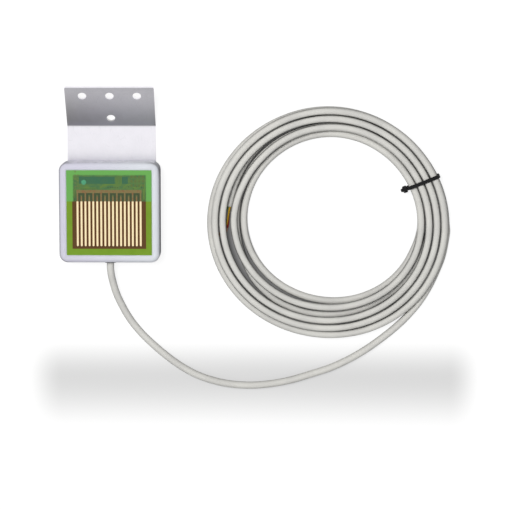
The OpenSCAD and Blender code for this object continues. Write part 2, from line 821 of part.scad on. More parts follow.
module inner_core_white() color([0.93, 0.93, 0.9]) inner_core(3);
module inner_core_brown() color([0.66, 0.24, 0.12]) inner_core(2);
module inner_core_green() color([0.2, 0.55, 0.25]) inner_core(1);
module inner_core_yellow() color([0.95, 0.8, 0.15]) inner_core(0);

// Coil: about six and a half turns in two layers. The first turn lies outermost on the table,
// climbs, winds inwards on top, drops back at the inside and winds outwards underneath.
coil_centre = [151.7, -5.2];
coil_turns = 6.47;
rings_per_turn = 24;
coil_pitch = cable_d + 0.3;
layer_step = cable_d + 0.5;
tie_at = 22;
tight_at = 56;
tie_lift = strap_t + 0.25;

// Turns drawn in from the outermost one, counted in coil pitches
turn_inset = [
    [0, 0], [0.06, 0.04], [0.2, 0.14], [0.32, 0.14], [0.5, -0.1], [0.8, -0.24], [3.1, 2.07],
    [3.2, 2.16], [3.3, 2.42], [3.38, 2.72], [3.44, 2.74], [3.5, 2.5], [3.65, 2.61], [4.25, 3.14],
    [4.35, 3.31], [4.46, 3.42], [4.52, 3.34], [4.65, 3.27], [4.75, 3.22], [4.85, 3.22], [4.94, 3.14],
    [5, 2.7], [5.06, 2.13], [5.17, 2.12], [5.25, 2.16], [5.35, 2.34], [5.46, 2.59], [5.5, 2.62],
    [5.53, 2.6], [5.57, 2.38], [5.61, 1.88], [5.66, 1.57], [5.71, 1.59], [5.77, 1.8], [5.85, 2.17],
    [5.93, 2.2], [6, 1.7], [6.06, 1.12], [6.2, 1.14], [6.25, 1.16], [6.35, 1.36], [6.46, 1.9],
    [6.5, 1.92]
];
// Layer of each turn: 0 on the table, 1 on top
turn_layer = [[0, 0], [0.5, 0], [1, 1], [3.98, 1], [4.28, 0], [6.5, 0]];
// How far the inner turns spread away from the outer ones, at the widest place
turn_spread = [[0, 0], [2.9, 0], [3.5, 3.2], [3.75, 4.4], [4.5, 6.4], [4.75, 5.8], [5, 5.2], [5.5, 4.6],
    [6.1, 3], [6.5, 1.8]];
// How far the arriving cable lies outside the first turn
turn_arrival = [[0, 1.3], [0.04, 0.9], [0.09, 0.3], [0.15, 0]];

function ease(x) = x * x * (3 - 2 * x);
function outline_r(a) =
    78.85 - 1.75 * cos(a) - 2.37 * sin(a) + 1.3 * cos(2 * a) - 0.25 * sin(2 * a) - 0.4 * cos(3 * (a - 20));
function coil_r(t) =
    let (a = 360 * t)
    outline_r(a) + lookup(t, turn_arrival) - coil_pitch * lookup(t, turn_inset)
        - lookup(t, turn_spread) * pow((1 - cos(a - tight_at)) / 2, 1.5);
function coil_z(t) =
    cable_r + layer_step * ease(lookup(t, turn_layer)) + tie_lift * pow(max(cos(360 * t - tie_at), 0), 24);
function coil_point(t) = [
    coil_centre[0] + coil_r(t) * cos(360 * t),
    coil_centre[1] + coil_r(t) * sin(360 * t),
    coil_z(t)
];

coil_steps = round(coil_turns * rings_per_turn);
coil_body = [for (i = [0:coil_steps]) coil_point(i * coil_turns / coil_steps)];
function coil_heading(t) = unit(coil_point(t + 0.01) - coil_point(t - 0.01));
coil_in = coil_heading(0);
coil_out = coil_heading(coil_turns);
coil_path = concat(
    [coil_body[0] - cable_d * coil_in],
    coil_body,
    [coil_body[coil_steps] + cable_d * coil_out]
);

// Least gap of the coil to itself, measured between its rings more than half a turn apart
coil_gap = min([for (i = [0:len(coil_path) - 1], j = [i + 12:1:len(coil_path) - 1])
    norm(coil_path[i] - coil_path[j]) - cable_d]);
function run_length(p) = [for (i = [1:len(p) - 1]) norm(p[i] - p[i - 1])] * [for (i = [1:len(p) - 1]) 1];
echo(coil_gap = coil_gap, coil_length = run_length(coil_path), lead_length = run_length(lead_path));

module cable_coil() color([0.84, 0.84, 0.82]) tube(coil_path, cable_r, 6);

// Free stretch from the housing to the coil
lead_route = [
    [1.1, -47.8, 7.6], [4.4, -59.3, 5.2], [11.4, -73.4, 3.2], [19.6, -84.4, 2.6], [28.6, -93.4, 2.5],
    [38.4, -101.8, 2.5], [48.4, -109, 2.5], [58.7, -114.7, 2.5], [68.9, -118.4, 2.5],
    [78.9, -120.8, 2.5], [90, -122, 2.5], [101, -122, 2.5], [113, -120.7, 2.5], [126.1, -118, 2.5],
    [139.3, -113.9, 2.5], [152.2, -109.6, 2.5], [165, -103.6, 2.5], [176.8, -96.6, 2.5],
    [188.4, -88.2, 2.5], [198.4, -79.9, 2.5], [206.6, -71.6, 2.5], [213.7, -62.8, 2.5],
    [219.8, -52.9, 2.5], [224.9, -42, 2.5], [229.1, -30.5, 2.5]
];
lead_path = concat(
    [[0, cable_exit_y, cable_z], [0, cable_exit_y - cable_d, cable_z]],
    lead_route,
    [coil_path[0] - cable_d * coil_in, coil_path[0]]
);

module cable_lead() color([0.84, 0.84, 0.82]) tube(lead_path, cable_r, 8);

// Cable tie round the bundle, in a frame whose X points outwards from the coil's centre
chord_dip = outline_r(tie_at) * (1 - cos(180 / rings_per_turn));
bundle_out = coil_r(tie_at / 360) + cable_r;
bundle_in = min(coil_r(4 + tie_at / 360), coil_r(5 + tie_at / 360)) - cable_r - chord_dip;
bundle_w = bundle_out - bundle_in;
bundle_h = layer_step + cable_d;
tie_corner_r = cable_r;

module at_tie() {
    translate([coil_centre[0], coil_centre[1], 0]) rotate([0, 0, tie_at]) {
        translate([(bundle_out + bundle_in) / 2, 0, tie_lift + bundle_h / 2]) children();
    }
}

module strap_outline(grow) {
    w = bundle_w + 2 * grow;
    h = bundle_h + 2 * grow;
    r = tie_corner_r + grow;
    square([w - 2 * r, h], center = true);
    square([w, h - 2 * r], center = true);
    for (x = [-1, 1], y = [-1, 1]) translate([x * (w / 2 - r), y * (h / 2 - r)]) circle(r, $fn = 32);
}

// Height of the head's lower face above the middle of the bundle
tie_head_z = -1.2;
slot_depth = 0.8;

// Strap, head and cut end in one piece; the end comes out of a slot in the head
module cable_tie() color([0.08, 0.08, 0.08]) at_tie() {
    head_x = -bundle_w / 2 - loose - strap_t - tie_head_t;
    tail_z = tie_head_z + (tie_head_w - strap_t) / 2;
    rotate([90, 0, 0]) linear_extrude(strap_w, center = true) difference() {
        strap_outline(loose + strap_t);
        strap_outline(loose);
    }
    difference() {
        translate([head_x, -tie_head_w / 2, tie_head_z]) cube([tie_head_t, tie_head_w, tie_head_w]);
        translate([head_x - 1, -strap_w / 2 - loose, tail_z - loose]) {
            cube([slot_depth + 1, strap_w + 2 * loose, strap_t + 2 * loose]);
        }
    }
    translate([head_x - tie_tail, -strap_w / 2, tail_z]) cube([tie_tail + slot_depth, strap_w, strap_t]);
}

// Cores at the free end: they leave the jacket side by side and run on for a little
coil_end = coil_path[len(coil_path) - 1];
end_side = side_of(coil_out, [0, 0, 1]);
end_len = [13, 18, 15, 20];
function end_core_points(i) =
    let (s = end_side * core_spread * (i % 2 == 0 ? -1 : 1), v = [0, 0, core_spread * (i < 2 ? 1 : -1)],
        q = coil_end + s + v, fan = end_side * (i % 2 == 0 ? -1 : 1) * [0.5, 1.1, 1.6, 0.7][i])
    [q, q + 2 * coil_out, q + 0.45 * end_len[i] * coil_out + 0.35 * fan,
        q + 0.8 * end_len[i] * coil_out + 0.9 * fan, q + end_len[i] * coil_out + fan];

module end_core(i) tube(end_core_points(i), core_d / 2, 8);
module end_core_white() color([0.93, 0.93, 0.9]) end_core(3);
module end_core_brown() color([0.66, 0.24, 0.12]) end_core(2);
module end_core_green() color([0.2, 0.55, 0.25]) end_core(1);
module end_core_yellow() color([0.95, 0.8, 0.15]) end_core(0);

module bare_strands() color([0.85, 0.6, 0.4]) {
    for (i = [0:3]) {
        p = end_core_points(i);
        d = unit(p[4] - p[3]);
        tube([p[4], p[4] + bare_len * d], strand_d / 2, 8);
    }
}

housing_frame();
back_cover();
cover_gasket();
cover_screws();
board_sealant();
bracket();
bracket_screws();
bracket_inserts();
sensor_board();
solder_mask();
heater_layer();
comb_signal();
comb_return();
plated_vias();
control_pads();
microcontroller();
microcontroller_leads();
voltage_regulator();
heater_transistor();
bulk_capacitor();
capacitor_base();
rectifier_diodes();
chip_resistors();
ceramic_capacitors();
solder_joints();
relay_base();
relay_terminals();
relay_yoke();
relay_core();
relay_bobbin();
relay_winding();
relay_armature();
relay_moving_contact();
relay_open_contact();
relay_rest_contact();
relay_cap();
cable_grommet();
cable_tail();
cable_clamp();
clamp_screws();
inner_core_white();
inner_core_brown();
inner_core_green();
inner_core_yellow();
cable_lead();
cable_coil();
cable_tie();
end_core_white();
end_core_brown();
end_core_green();
end_core_yellow();
bare_strands();
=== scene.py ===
"""Dressed model of a heated rain sensor: square housing with a comb board, bracket and coiled cable."""

import logging
import math
from collections.abc import Iterable, Sequence
from dataclasses import dataclass, field
from enum import Enum
from typing import Any

import bmesh
import bpy
import numpy as np
from mathutils import Matrix, Vector


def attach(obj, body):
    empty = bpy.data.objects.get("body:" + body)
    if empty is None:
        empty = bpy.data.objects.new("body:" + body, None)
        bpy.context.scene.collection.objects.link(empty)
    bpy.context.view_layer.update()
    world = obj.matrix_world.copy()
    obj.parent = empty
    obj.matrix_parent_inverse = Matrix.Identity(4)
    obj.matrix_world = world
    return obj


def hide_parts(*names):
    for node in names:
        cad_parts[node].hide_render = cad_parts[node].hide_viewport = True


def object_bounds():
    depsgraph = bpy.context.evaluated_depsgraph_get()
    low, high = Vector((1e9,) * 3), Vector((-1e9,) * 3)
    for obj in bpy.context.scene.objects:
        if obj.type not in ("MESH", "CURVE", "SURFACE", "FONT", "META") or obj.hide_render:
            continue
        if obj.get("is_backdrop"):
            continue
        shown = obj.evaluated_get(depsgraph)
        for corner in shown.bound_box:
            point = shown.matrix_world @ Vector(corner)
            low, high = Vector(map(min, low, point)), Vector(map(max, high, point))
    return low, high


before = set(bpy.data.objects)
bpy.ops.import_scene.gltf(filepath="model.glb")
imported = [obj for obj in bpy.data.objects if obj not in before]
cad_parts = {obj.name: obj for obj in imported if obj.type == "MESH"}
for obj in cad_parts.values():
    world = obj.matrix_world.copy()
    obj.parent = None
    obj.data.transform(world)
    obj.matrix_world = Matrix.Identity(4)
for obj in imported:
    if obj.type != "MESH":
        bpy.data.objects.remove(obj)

MM = 0.001
COIL_CENTRE = (151.7, -5.2)  # millimetres
CORNER_STEPS = 12  # points in each round corner of the frame
DOUBLES_M = 1e-7  # points nearer than this are one
CAD_DOUBLES_M = 2e-6  # the same in a copied CAD mesh
FLAT_DEG = 0.5  # faces that differ by less are one flat face
ROUNDED_OVER_DEG = 30.0  # edges with a larger angle are rounded
LOG = logging.getLogger("rain_sensor")
Pair = tuple[float, float]
Triple = tuple[float, float, float]
Colour = tuple[float, float, float, float]
WHITE_LIGHT: Colour = (1.0, 1.0, 1.0, 1.0)


def paint(red: float, green: float, blue: float) -> Colour:
    """Turn a colour written as 0 to 255 on a screen into the linear one that shaders take.

    Args:
        red: red as written for a screen.
        green: green, the same way.
        blue: blue, the same way.

    Returns:
        The linear colour, fully opaque.
    """
    parts = np.array([red, green, blue], float) / 255
    linear = np.where(parts <= 0.04045, parts / 12.92, ((parts + 0.055) / 1.055) ** 2.4)
    return float(linear[0]), float(linear[1]), float(linear[2]), 1.0


# Shader expressions


class Value:
    """A shader socket that Python operators work on: each operator adds one Math node."""

    def __init__(self, graph: "Graph", socket: bpy.types.NodeSocket) -> None:
        """Keep the socket and the graph that it belongs to."""
        self.graph = graph
        self.socket = socket

    def math(self, operation: str, *others: "Value | float", first: "Value | float | None" = None) -> "Value":
        """Add one Math node.

        Args:
            operation: the node's operation.
            others: the operands after the first.
            first: the first operand, where it isn't this socket.

        Returns:
            The node's result.
        """
        operands = (self if first is None else first, *others)
        return self.graph.result("ShaderNodeMath", {"operation": operation}, dict(enumerate(operands)))

    def __add__(self, other: "Value | float") -> "Value":
        """Sum."""
        return self.math("ADD", other)

    __radd__ = __add__

    def __sub__(self, other: "Value | float") -> "Value":
        """Difference."""
        return self.math("SUBTRACT", other)

    def __rsub__(self, other: float) -> "Value":
        """Difference from a number."""
        return self.math("SUBTRACT", self, first=other)

    def __mul__(self, other: "Value | float") -> "Value":
        """Product."""
        return self.math("MULTIPLY", other)

    __rmul__ = __mul__

    def __truediv__(self, other: "Value | float") -> "Value":
        """Quotient."""
        return self.math("DIVIDE", other)

    def __abs__(self) -> "Value":
        """Size without the sign."""
        return self.math("ABSOLUTE")

    def __pow__(self, other: "Value | float") -> "Value":
        """Power."""
        return self.math("POWER", other)

    def least(self, other: "Value | float") -> "Value":
        """The lower of the two."""
        return self.math("MINIMUM", other)

    def most(self, other: "Value | float") -> "Value":
        """The higher of the two."""
        return self.math("MAXIMUM", other)

    def wave(self) -> "Value":
        """Sine of this value, in radians."""
        return self.math("SINE")

    def offset_in(self, period: float) -> "Value":
        """Signed distance to the nearest whole multiple of the period."""
        return self - self.math("SNAP", period, first=self + period / 2)

    def ramp(self, low: float, high: float) -> "Value":
        """Smooth step: 0 at low, 1 at high.

        Args:
            low: where the step begins.
            high: where it ends.

        Returns:
            The step, kept between 0 and 1.
        """
        settings = {"interpolation_type": "SMOOTHSTEP", "clamp": True}
        inputs = {"Value": self, "From Min": low, "From Max": high}
        return self.graph.result("ShaderNodeMapRange", settings, inputs)

    def within(self, low: float, high: float, soft: float) -> "Value":
        """Mask that is 1 between low and high and fades over the soft width."""
        above = self.ramp(low - soft / 2, low + soft / 2)
        return above * (1 - self.ramp(high - soft / 2, high + soft / 2))


class Graph:
    """The nodes of one material or world."""

    def __init__(self, name: str, store: bpy.types.bpy_prop_collection | None = None) -> None:
        """Make the material, or the world where the store holds worlds, and empty its node tree.

        Args:
            name: the name of the material or world.
            store: where it is made, the materials if none is given.
        """
        self.owner = (bpy.data.materials if store is None else store).new(name)
        self.owner.use_nodes = True
        self.tree = self.owner.node_tree
        self.tree.nodes.clear()
        self._place: Value | None = None

    def node(
        self, kind: str, settings: dict[str, Any] | None = None, inputs: dict[str | int, Any] | None = None
    ) -> bpy.types.Node:
        """Add a node of any type.

        Args:
            kind: the node's type.
            settings: its own settings, set first.
            inputs: values or links of its sockets, by name or number.

        Returns:
            The node.
        """
        node = self.tree.nodes.new(kind)
        for key, value in (settings or {}).items():
            setattr(node, key, value)
        for key, value in (inputs or {}).items():
            if isinstance(value, Value):
                self.tree.links.new(value.socket, node.inputs[key])
            else:
                node.inputs[key].default_value = value
        return node

    def result(self, kind: str, *given: dict | None, output: str | int = 0) -> Value:
        """One output, the first if none is named, of a node added with the given settings and inputs."""
        return Value(self, self.node(kind, *given).outputs[output])

    def finished(self, shader: Value, kind: str = "ShaderNodeOutputMaterial") -> Any:
        """The material or world, with a shader sent to its output node of the given kind."""
        self.node(kind, None, {"Surface": shader})
        return self.owner

    def place(self) -> Value:
        """Place on the object, in millimetres.

        Returns:
            A vector of Object coordinates, made once for each graph.
        """
        if self._place is None:
            metres = self.result("ShaderNodeTexCoord", output="Object")
            self._place = self.scaled(metres, (1 / MM,) * 3)
        return self._place

    def surface(self) -> Value:
        """The piece's own UV map: along in millimetres, and around from 0 to 1."""
        return self.result("ShaderNodeUVMap", {"uv_map": "UVMap"})

    def scaled(self, vector: Value, factors: Triple) -> Value:
        """The vector times a factor along each axis."""
        return self.result("ShaderNodeVectorMath", {"operation": "MULTIPLY"}, {0: vector, 1: factors})

    def moved(self, vector: Value, offset: Value | Triple) -> Value:
        """The vector plus an offset."""
        return self.result("ShaderNodeVectorMath", {"operation": "ADD"}, {0: vector, 1: offset})

    def axes(self, vector: Value | None = None) -> tuple[Value, Value, Value]:
        """The three numbers of a vector, of the place on the object if none is given."""
        node = self.node("ShaderNodeSeparateXYZ", None, {0: vector or self.place()})
        return Value(self, node.outputs[0]), Value(self, node.outputs[1]), Value(self, node.outputs[2])

    def noise(
        self, scale: float, detail: float = 3, vector: Value | None = None, rough: float = 0.5
    ) -> Value:
        """Cloudy noise about 0.5, with scale features to the millimetre."""
        inputs = {"Vector": vector or self.place(), "Scale": scale, "Detail": detail, "Roughness": rough}
        return self.result("ShaderNodeTexNoise", None, inputs)

    def cells(self, scale: float, feature: str = "F1", vector: Value | None = None) -> Value:
        """Distance in a pattern of cells."""
        inputs = {"Vector": vector or self.place(), "Scale": scale}
        return self.result("ShaderNodeTexVoronoi", {"feature": feature}, inputs, output="Distance")

    def mix(self, share: Value | float, first: Value | Colour, second: Value | Colour) -> Value:
        """Colour between the first and the second."""
        return self.result("ShaderNodeMix", {"data_type": "RGBA"}, {0: share, 6: first, 7: second}, output=2)

    def bump(self, height: Value, strength: float, depth: float) -> Value:
        """Normal of a rough surface, whose depth is given in millimetres."""
        inputs = {"Height": height, "Strength": strength, "Distance": depth * MM}
        return self.result("ShaderNodeBump", None, inputs)

    def coat(self, **inputs: Any) -> bpy.types.Material:
        """Add the surface shader and its output.

        Args:
            inputs: sockets of the Principled shader, their names written with _ for spaces.

        Returns:
            The finished material.
        """
        named = {key.replace("_", " "): value for key, value in inputs.items()}
        return self.finished(self.result("ShaderNodeBsdfPrincipled", None, named))


# Finishes


@dataclass(frozen=True)
class Moulded:
    """Moulded plastic or rubber: a fine eroded grain, faint clouds of colour and dulled patches."""

    name: str
    colour: Colour
    shade: Colour
    roughness: float = 0.42
    grain: float = 0.02
    grain_scale: float = 4.0
    specular: float = 0.45

    def material(self) -> bpy.types.Material:
        """Build the material.

        Returns:
            The finished material.
        """
        g = Graph(self.name)
        cloud = g.noise(0.09, 4).ramp(0.3, 0.7)
        grain = g.noise(self.grain_scale, 5, rough=0.65)
        pits = g.cells(self.grain_scale * 0.7)
        rough = self.roughness - 0.05 + 0.1 * g.noise(0.4, 3) + 0.06 * (grain - 0.5)
        return g.coat(
            Base_Color=g.mix(cloud, self.colour, self.shade),
            Roughness=rough,
            Specular_IOR_Level=self.specular,
            Normal=g.bump(grain * 0.7 + pits * 0.3, 0.5, self.grain),
        )


@dataclass(frozen=True)
class FrameShell:
    """The housing's glossy plastic: white, with painted light that makes it darker and violet towards the
    left and bluish white towards the right, hairlines and faint wear.
    """

    # painted light: a shaded violet-grey tone for the left side and a lit bluish-white tone for the right
    # side
    lilac_shaded_side: Colour = paint(216, 214, 230)
    cool_lit_side: Colour = paint(227, 231, 238)
    worn: Colour = paint(206, 206, 216)
    # painted shade: the colour of the dark line along the rounded rim
    edge: Colour = paint(126, 126, 134)
    half: float = 34.5
    dust_z: Pair = (1.5, 5.5)
    rim_shade_z: Pair = (15.6, 18.6)
    rim_shade_left: Pair = (24.0, 32.0)
    corner_shade_x: Pair = (23.0, 31.0)
    corner_shade_y: Pair = (22.0, 31.0)
    roughness: float = 0.27

    def material(self) -> bpy.types.Material:
        """Build the material: painted light shifts the colour along X, rub marks by stretched noise, a soft
        orange-peel bump.

        A thin darker line of painted shade lies along the left rim and the upper corners, and dust low on the
        walls.

        Returns:
            The finished material.
        """
        g = Graph("housing_plastic_gloss")
        x, y, z = g.axes()
        # painted light: the colour runs from the shaded left side to the lit right side
        base = g.mix(x.ramp(-self.half, self.half), self.lilac_shaded_side, self.cool_lit_side)
        cloud = g.noise(0.07, 3).ramp(0.42, 0.8)
        hair = g.noise(1.0, 2, g.scaled(g.place(), (6.0, 0.35, 1.0)))
        hair_mask = hair.ramp(0.66, 0.74) * g.noise(0.12, 2).ramp(0.45, 0.7)
        rub = (cloud * 0.35 + hair_mask * 0.35).least(1.0)
        skin = g.noise(0.55, 3)
        fine = g.noise(5.0, 4, rough=0.6)
        low_dust = 1 - z.ramp(*self.dust_z)
        corner = abs(x).ramp(*self.corner_shade_x) * y.ramp(*self.corner_shade_y)
        # painted shade along the left rim and in the upper corners
        rim = z.within(*self.rim_shade_z, 0.9) * (0 - x).ramp(*self.rim_shade_left).most(corner)
        return g.coat(
            Base_Color=g.mix(rim * 0.6, g.mix(rub + low_dust * 0.2, base, self.worn), self.edge),
            Roughness=self.roughness + rub * 0.12 + (fine - 0.5) * 0.05 + low_dust * 0.1,
            Specular_IOR_Level=0.42,
            Normal=g.bump(skin * 0.7 + fine * 0.1, 0.35, 0.02),
        )


@dataclass(frozen=True)
class SheetMetal:
    """Rolled sheet of a light alloy: rolling lines, mottling, scattered scratches, handling stains, and
    painted shade on the tab and along the bend.
    """

    name: str = "bracket_rolled_sheet"
    light: Colour = paint(243, 241, 247)
    dark: Colour = paint(230, 229, 234)
    # colour of real handling stains and scratches, and also of painted shade along the bend
    stain_and_bend_shade: Colour = paint(198, 197, 202)
    # painted shade: colour of the tab where it lies in shade, deepest at the fold
    shadow: Colour = paint(184, 184, 182)
    roughness: float = 0.33
    fold_y: float = 58.0
    tab_shade_reach: float = 27.0

    def material(self) -> bpy.types.Material:
        """Build the material: noise stretched along X draws the rolling lines, cell edges the scratches.

        Returns:
            The finished material.
        """
        g = Graph(self.name)
        x, y, _ = g.axes()
        mottle = g.noise(0.16, 5, rough=0.6)
        spots = g.noise(0.9, 4, rough=0.7)
        rolling = g.noise(1.0, 3, g.scaled(g.place(), (0.05, 3.2, 3.2)))
        turned = g.scaled(g.moved(g.place(), g.scaled(g.place(), (0.0, 0.6, 0.0))), (0.35, 0.05, 0.35))
        edges = g.cells(1.0, "DISTANCE_TO_EDGE", turned)
        scratch = (1 - edges.ramp(0.0, 0.012)) * g.noise(0.11, 2).ramp(0.5, 0.62)
        near_fold = 1 - abs(y - self.fold_y - 1.5).ramp(0.0, 3.0)
        on_tab = y.ramp(self.fold_y - 0.5, self.fold_y + 1.5)
        clouds = (mottle.ramp(0.3, 0.7) * 0.6 + spots.ramp(0.4, 0.75) * 0.4) * (0.35 + on_tab * 0.65)
        # painted shade on the tab: darkest at the fold, fading with some noise further up the tab
        tab_shade_fade = y + x * 0.12 + (mottle - 0.5) * 9
        worn = on_tab * (1 - tab_shade_fade.ramp(self.fold_y - 2, self.fold_y + self.tab_shade_reach))
        colour = g.mix(worn, g.mix(clouds, self.light, self.dark), self.shadow)
        # scratches and spots are real marks; near the fold this adds painted shade along the bend
        marks = (scratch * 0.5 + near_fold * 0.35 + spots.ramp(0.66, 0.8) * 0.3).least(1.0)
        return g.coat(
            Base_Color=g.mix(marks, colour, self.stain_and_bend_shade),
            Metallic=1.0,
            Roughness=self.roughness + (mottle - 0.5) * 0.1 + (rolling - 0.5) * 0.1 + scratch * 0.1,
            Normal=g.bump(rolling * 0.5 + spots * 0.3 - scratch * 0.6, 0.35, 0.02),
        )


@dataclass(frozen=True)
class Metal:
    """Small metal part: turning or drawing lines, tarnish in patches and a slight tooling bump."""

    name: str
    colour: Colour
    tarnish: Colour
    roughness: float = 0.3
    lines: Triple = (0.4, 0.4, 8.0)

    def material(self) -> bpy.types.Material:
        """Build the material.

        Returns:
            The finished material.
        """
        g = Graph(self.name)
        patch = g.noise(0.5, 4).ramp(0.4, 0.75)
        line = g.noise(1.0, 3, g.scaled(g.place(), self.lines))
        speck = g.noise(6.0, 3)
        return g.coat(
            Base_Color=g.mix(patch * 0.7 + speck.ramp(0.6, 0.8) * 0.3, self.colour, self.tarnish),
            Metallic=1.0,
            Roughness=self.roughness + patch * 0.12 + (line - 0.5) * 0.2,
            Normal=g.bump(line, 0.3, 0.015),
        )


@dataclass(frozen=True)
class CoilRing:
    """Mask of the ring that the coil's turns cover, for shaders; all sizes are in millimetres.

    Both edges shift towards the side where the tie draws the turns together.
    """

    inner_edge: Pair = (58.3, 60.3)
    outer_edge: Pair = (78.3, 80.3)
    tight_side: Pair = (0.559, 0.829)
    inner_shift: float = 2.6
    outer_shift: float = 3.0

    @staticmethod
    def reach(x: Value, y: Value) -> Value:
        """Distance from the coil's centre."""
        off_x, off_y = x - COIL_CENTRE[0], y - COIL_CENTRE[1]
        return (off_x * off_x + off_y * off_y) ** 0.5

    def mask(self, x: Value, y: Value) -> Value:
        """1 under the turns, 0 inside and outside the coil.

        Args:
            x: place along X.
            y: place along Y.

        Returns:
            The mask, with soft edges.
        """
        reach = self.reach(x, y)
        toward = (x - COIL_CENTRE[0]) * self.tight_side[0] + (y - COIL_CENTRE[1]) * self.tight_side[1]
        tight = toward / reach
        outside = (reach + tight * self.outer_shift).ramp(*self.outer_edge)
        return (reach - tight * self.inner_shift).ramp(*self.inner_edge) * (1 - outside)


@dataclass(frozen=True)
class Jacket:
    """Cable jacket: matt grey PVC, lay of the cores just showing, draw lines, and painted shade low on its
    sides.
    """

    colour: Colour = paint(224, 223, 218)
    shade: Colour = paint(214, 213, 209)
    soil: Colour = paint(180, 178, 174)
    # painted shade: the colour of the jacket's shaded sides and seams
    side_shade: Colour = paint(38, 38, 37)
    lay_length: float = 46.0
    cores: int = 4

    def material(self) -> bpy.types.Material:
        """Build the material: waves that climb round the cable stand for the twisted cores inside.

        Painted shade lies low on the sides, and most where turns of the coil lie against each other.

        Returns:
            The finished material.
        """
        g = Graph("cable_jacket_matt")
        along, around, _ = g.axes(g.surface())
        lay = (along * (math.tau / self.lay_length * self.cores) + around * (math.tau * self.cores)).wave()
        draw = g.noise(1.0, 2, g.scaled(g.surface(), (0.02, 18.0, 1.0)))
        cloud = g.noise(0.05, 3).ramp(0.35, 0.7)
        dirt = g.noise(0.6, 4, rough=0.7).ramp(0.62, 0.82)
        grain = g.noise(7.0, 3)
        over = (around * math.tau).wave()
        x, y, _ = g.axes()
        patchy = 0.72 + g.noise(0.03, 2).ramp(0.4, 0.6) * 0.26
        # painted shade where turns of the coil lie against each other
        shade_between_turns = (1 - over.ramp(0.25, 0.88)) * CoilRing().mask(x, y) * patchy
        # painted shade low on the sides and underneath, by the angle round the cable
        low = ((1 - over) * 0.5) ** 1.9 * 0.88
        colour = g.mix(low.most(shade_between_turns), g.mix(cloud, self.colour, self.shade), self.side_shade)
        return g.coat(
            Base_Color=g.mix(dirt * 0.3 + draw.ramp(0.62, 0.8) * 0.12, colour, self.soil),
            Roughness=0.56 + (grain - 0.5) * 0.16 + dirt * 0.1,
            Specular_IOR_Level=0.35,
            Normal=g.bump(lay * 0.12 + draw * 0.2 + grain * 0.3, 0.3, 0.03),
        )


@dataclass(frozen=True)
class Laminate:
    """Glass-fibre laminate of the board under a thin clear olive mask, with the weave showing."""

    olive: Colour = paint(121, 157, 45)
    deep: Colour = paint(112, 149, 38)
    edge: Colour = paint(168, 166, 96)
    top_z: float = 19.0

    def material(self) -> bpy.types.Material:
        """Build the material: two crossed waves are the weave, and the cut edges are paler.

        Returns:
            The finished material.
        """
        g = Graph("board_laminate_olive")
        x, y, z = g.axes()
        weave = ((x * 9.0).wave() * (y * 9.0).wave() + 1) * 0.5
        cloud = g.noise(0.2, 3).ramp(0.3, 0.7)
        body = g.mix(cloud * 0.6 + weave * 0.15, self.olive, self.deep)
        side = z.within(self.top_z - 1.5, self.top_z - 0.08, 0.04)
        return g.coat(
            Base_Color=g.mix(side, body, self.edge),
            Roughness=0.3 + weave * 0.08 + cloud * 0.06,
            Specular_IOR_Level=0.25,
            Normal=g.bump(weave * 0.6 + g.noise(3.0, 3) * 0.4, 0.3, 0.02),
        )


@dataclass(frozen=True)
class CopperUnderMask:
    """Green solder mask: bright over the bare rim, dark over the copper plane, smoky between the stubs."""

    rim: Colour = paint(108, 174, 87)
    plane: Colour = paint(94, 126, 66)
    teal: Colour = paint(68, 110, 74)
    smoky: Colour = paint(66, 78, 52)
    left: float = -24.6
    right: float = 25.3
    top: float = 25.9
    bus_low: float = 13.6
    comb_half: float = 22.3
    dim_x: Pair = (21.8, 23.4)
    dim_y: Pair = (12.0, 19.0)

    def material(self) -> bpy.types.Material:
        """Build the material: boxes with soft edges, in the board's own millimetres, choose the colour.

        Returns:
            The finished material.
        """
        g = Graph("solder_mask_green")
        x, y, _ = g.axes()
        wobble = (g.noise(0.8, 3) - 0.5) * 0.8
        below_top = 1 - (y + wobble).ramp(self.top - 0.6, self.top + 0.6)
        plane = (x + wobble).within(self.left, self.right, 1.1) * below_top
        below_bus = 1 - y.ramp(self.bus_low - 0.3, self.bus_low + 0.3)
        cells = (x + wobble * 0.3).within(-self.comb_half, self.comb_half, 0.6) * below_bus
        cloud = g.noise(0.25, 4).ramp(0.35, 0.68)
        streak = g.noise(1.0, 2, g.scaled(g.place(), (0.12, 1.6, 1.0))).ramp(0.45, 0.7)
        dark = g.mix(cloud * 0.7 + streak * 0.3, self.plane, self.teal)
        dim = abs(x).ramp(*self.dim_x) * (1 - y.ramp(*self.dim_y)) * 0.6
        dark = g.mix(cells.most(dim), dark, self.smoky)
        colour = g.mix(plane.most(cells), self.rim, dark)
        copper_step = plane * 0.6 + g.noise(2.5, 3) * 0.4
        return g.coat(
            Base_Color=colour,
            Roughness=0.3 + cloud * 0.08,
            Specular_IOR_Level=0.25,
            Normal=g.bump(copper_step, 0.35, 0.03),
        )


@dataclass(frozen=True)
class PadFields:
    """Copper fields under the mask: dark teal on the left, smoky olive in the grid on the right."""

    teal: Colour = paint(58, 106, 78)
    olive: Colour = paint(96, 114, 60)
    grid_x: float = 13.6

    def material(self) -> bpy.types.Material:
        """Build the material: the place along X chooses the colour, noise clouds it.

        Returns:
            The finished material.
        """
        g = Graph("copper_fields_under_mask")
        x, _, _ = g.axes()
        cloud = g.noise(0.5, 4).ramp(0.35, 0.7)
        share = x.ramp(self.grid_x - 0.6, self.grid_x + 0.6) * 0.85 + cloud * 0.12
        return g.coat(
            Base_Color=g.mix(share, self.teal, self.olive),
            Roughness=0.3 + cloud * 0.08,
            Specular_IOR_Level=0.25,
            Normal=g.bump(g.noise(2.0, 3), 0.3, 0.015),
        )


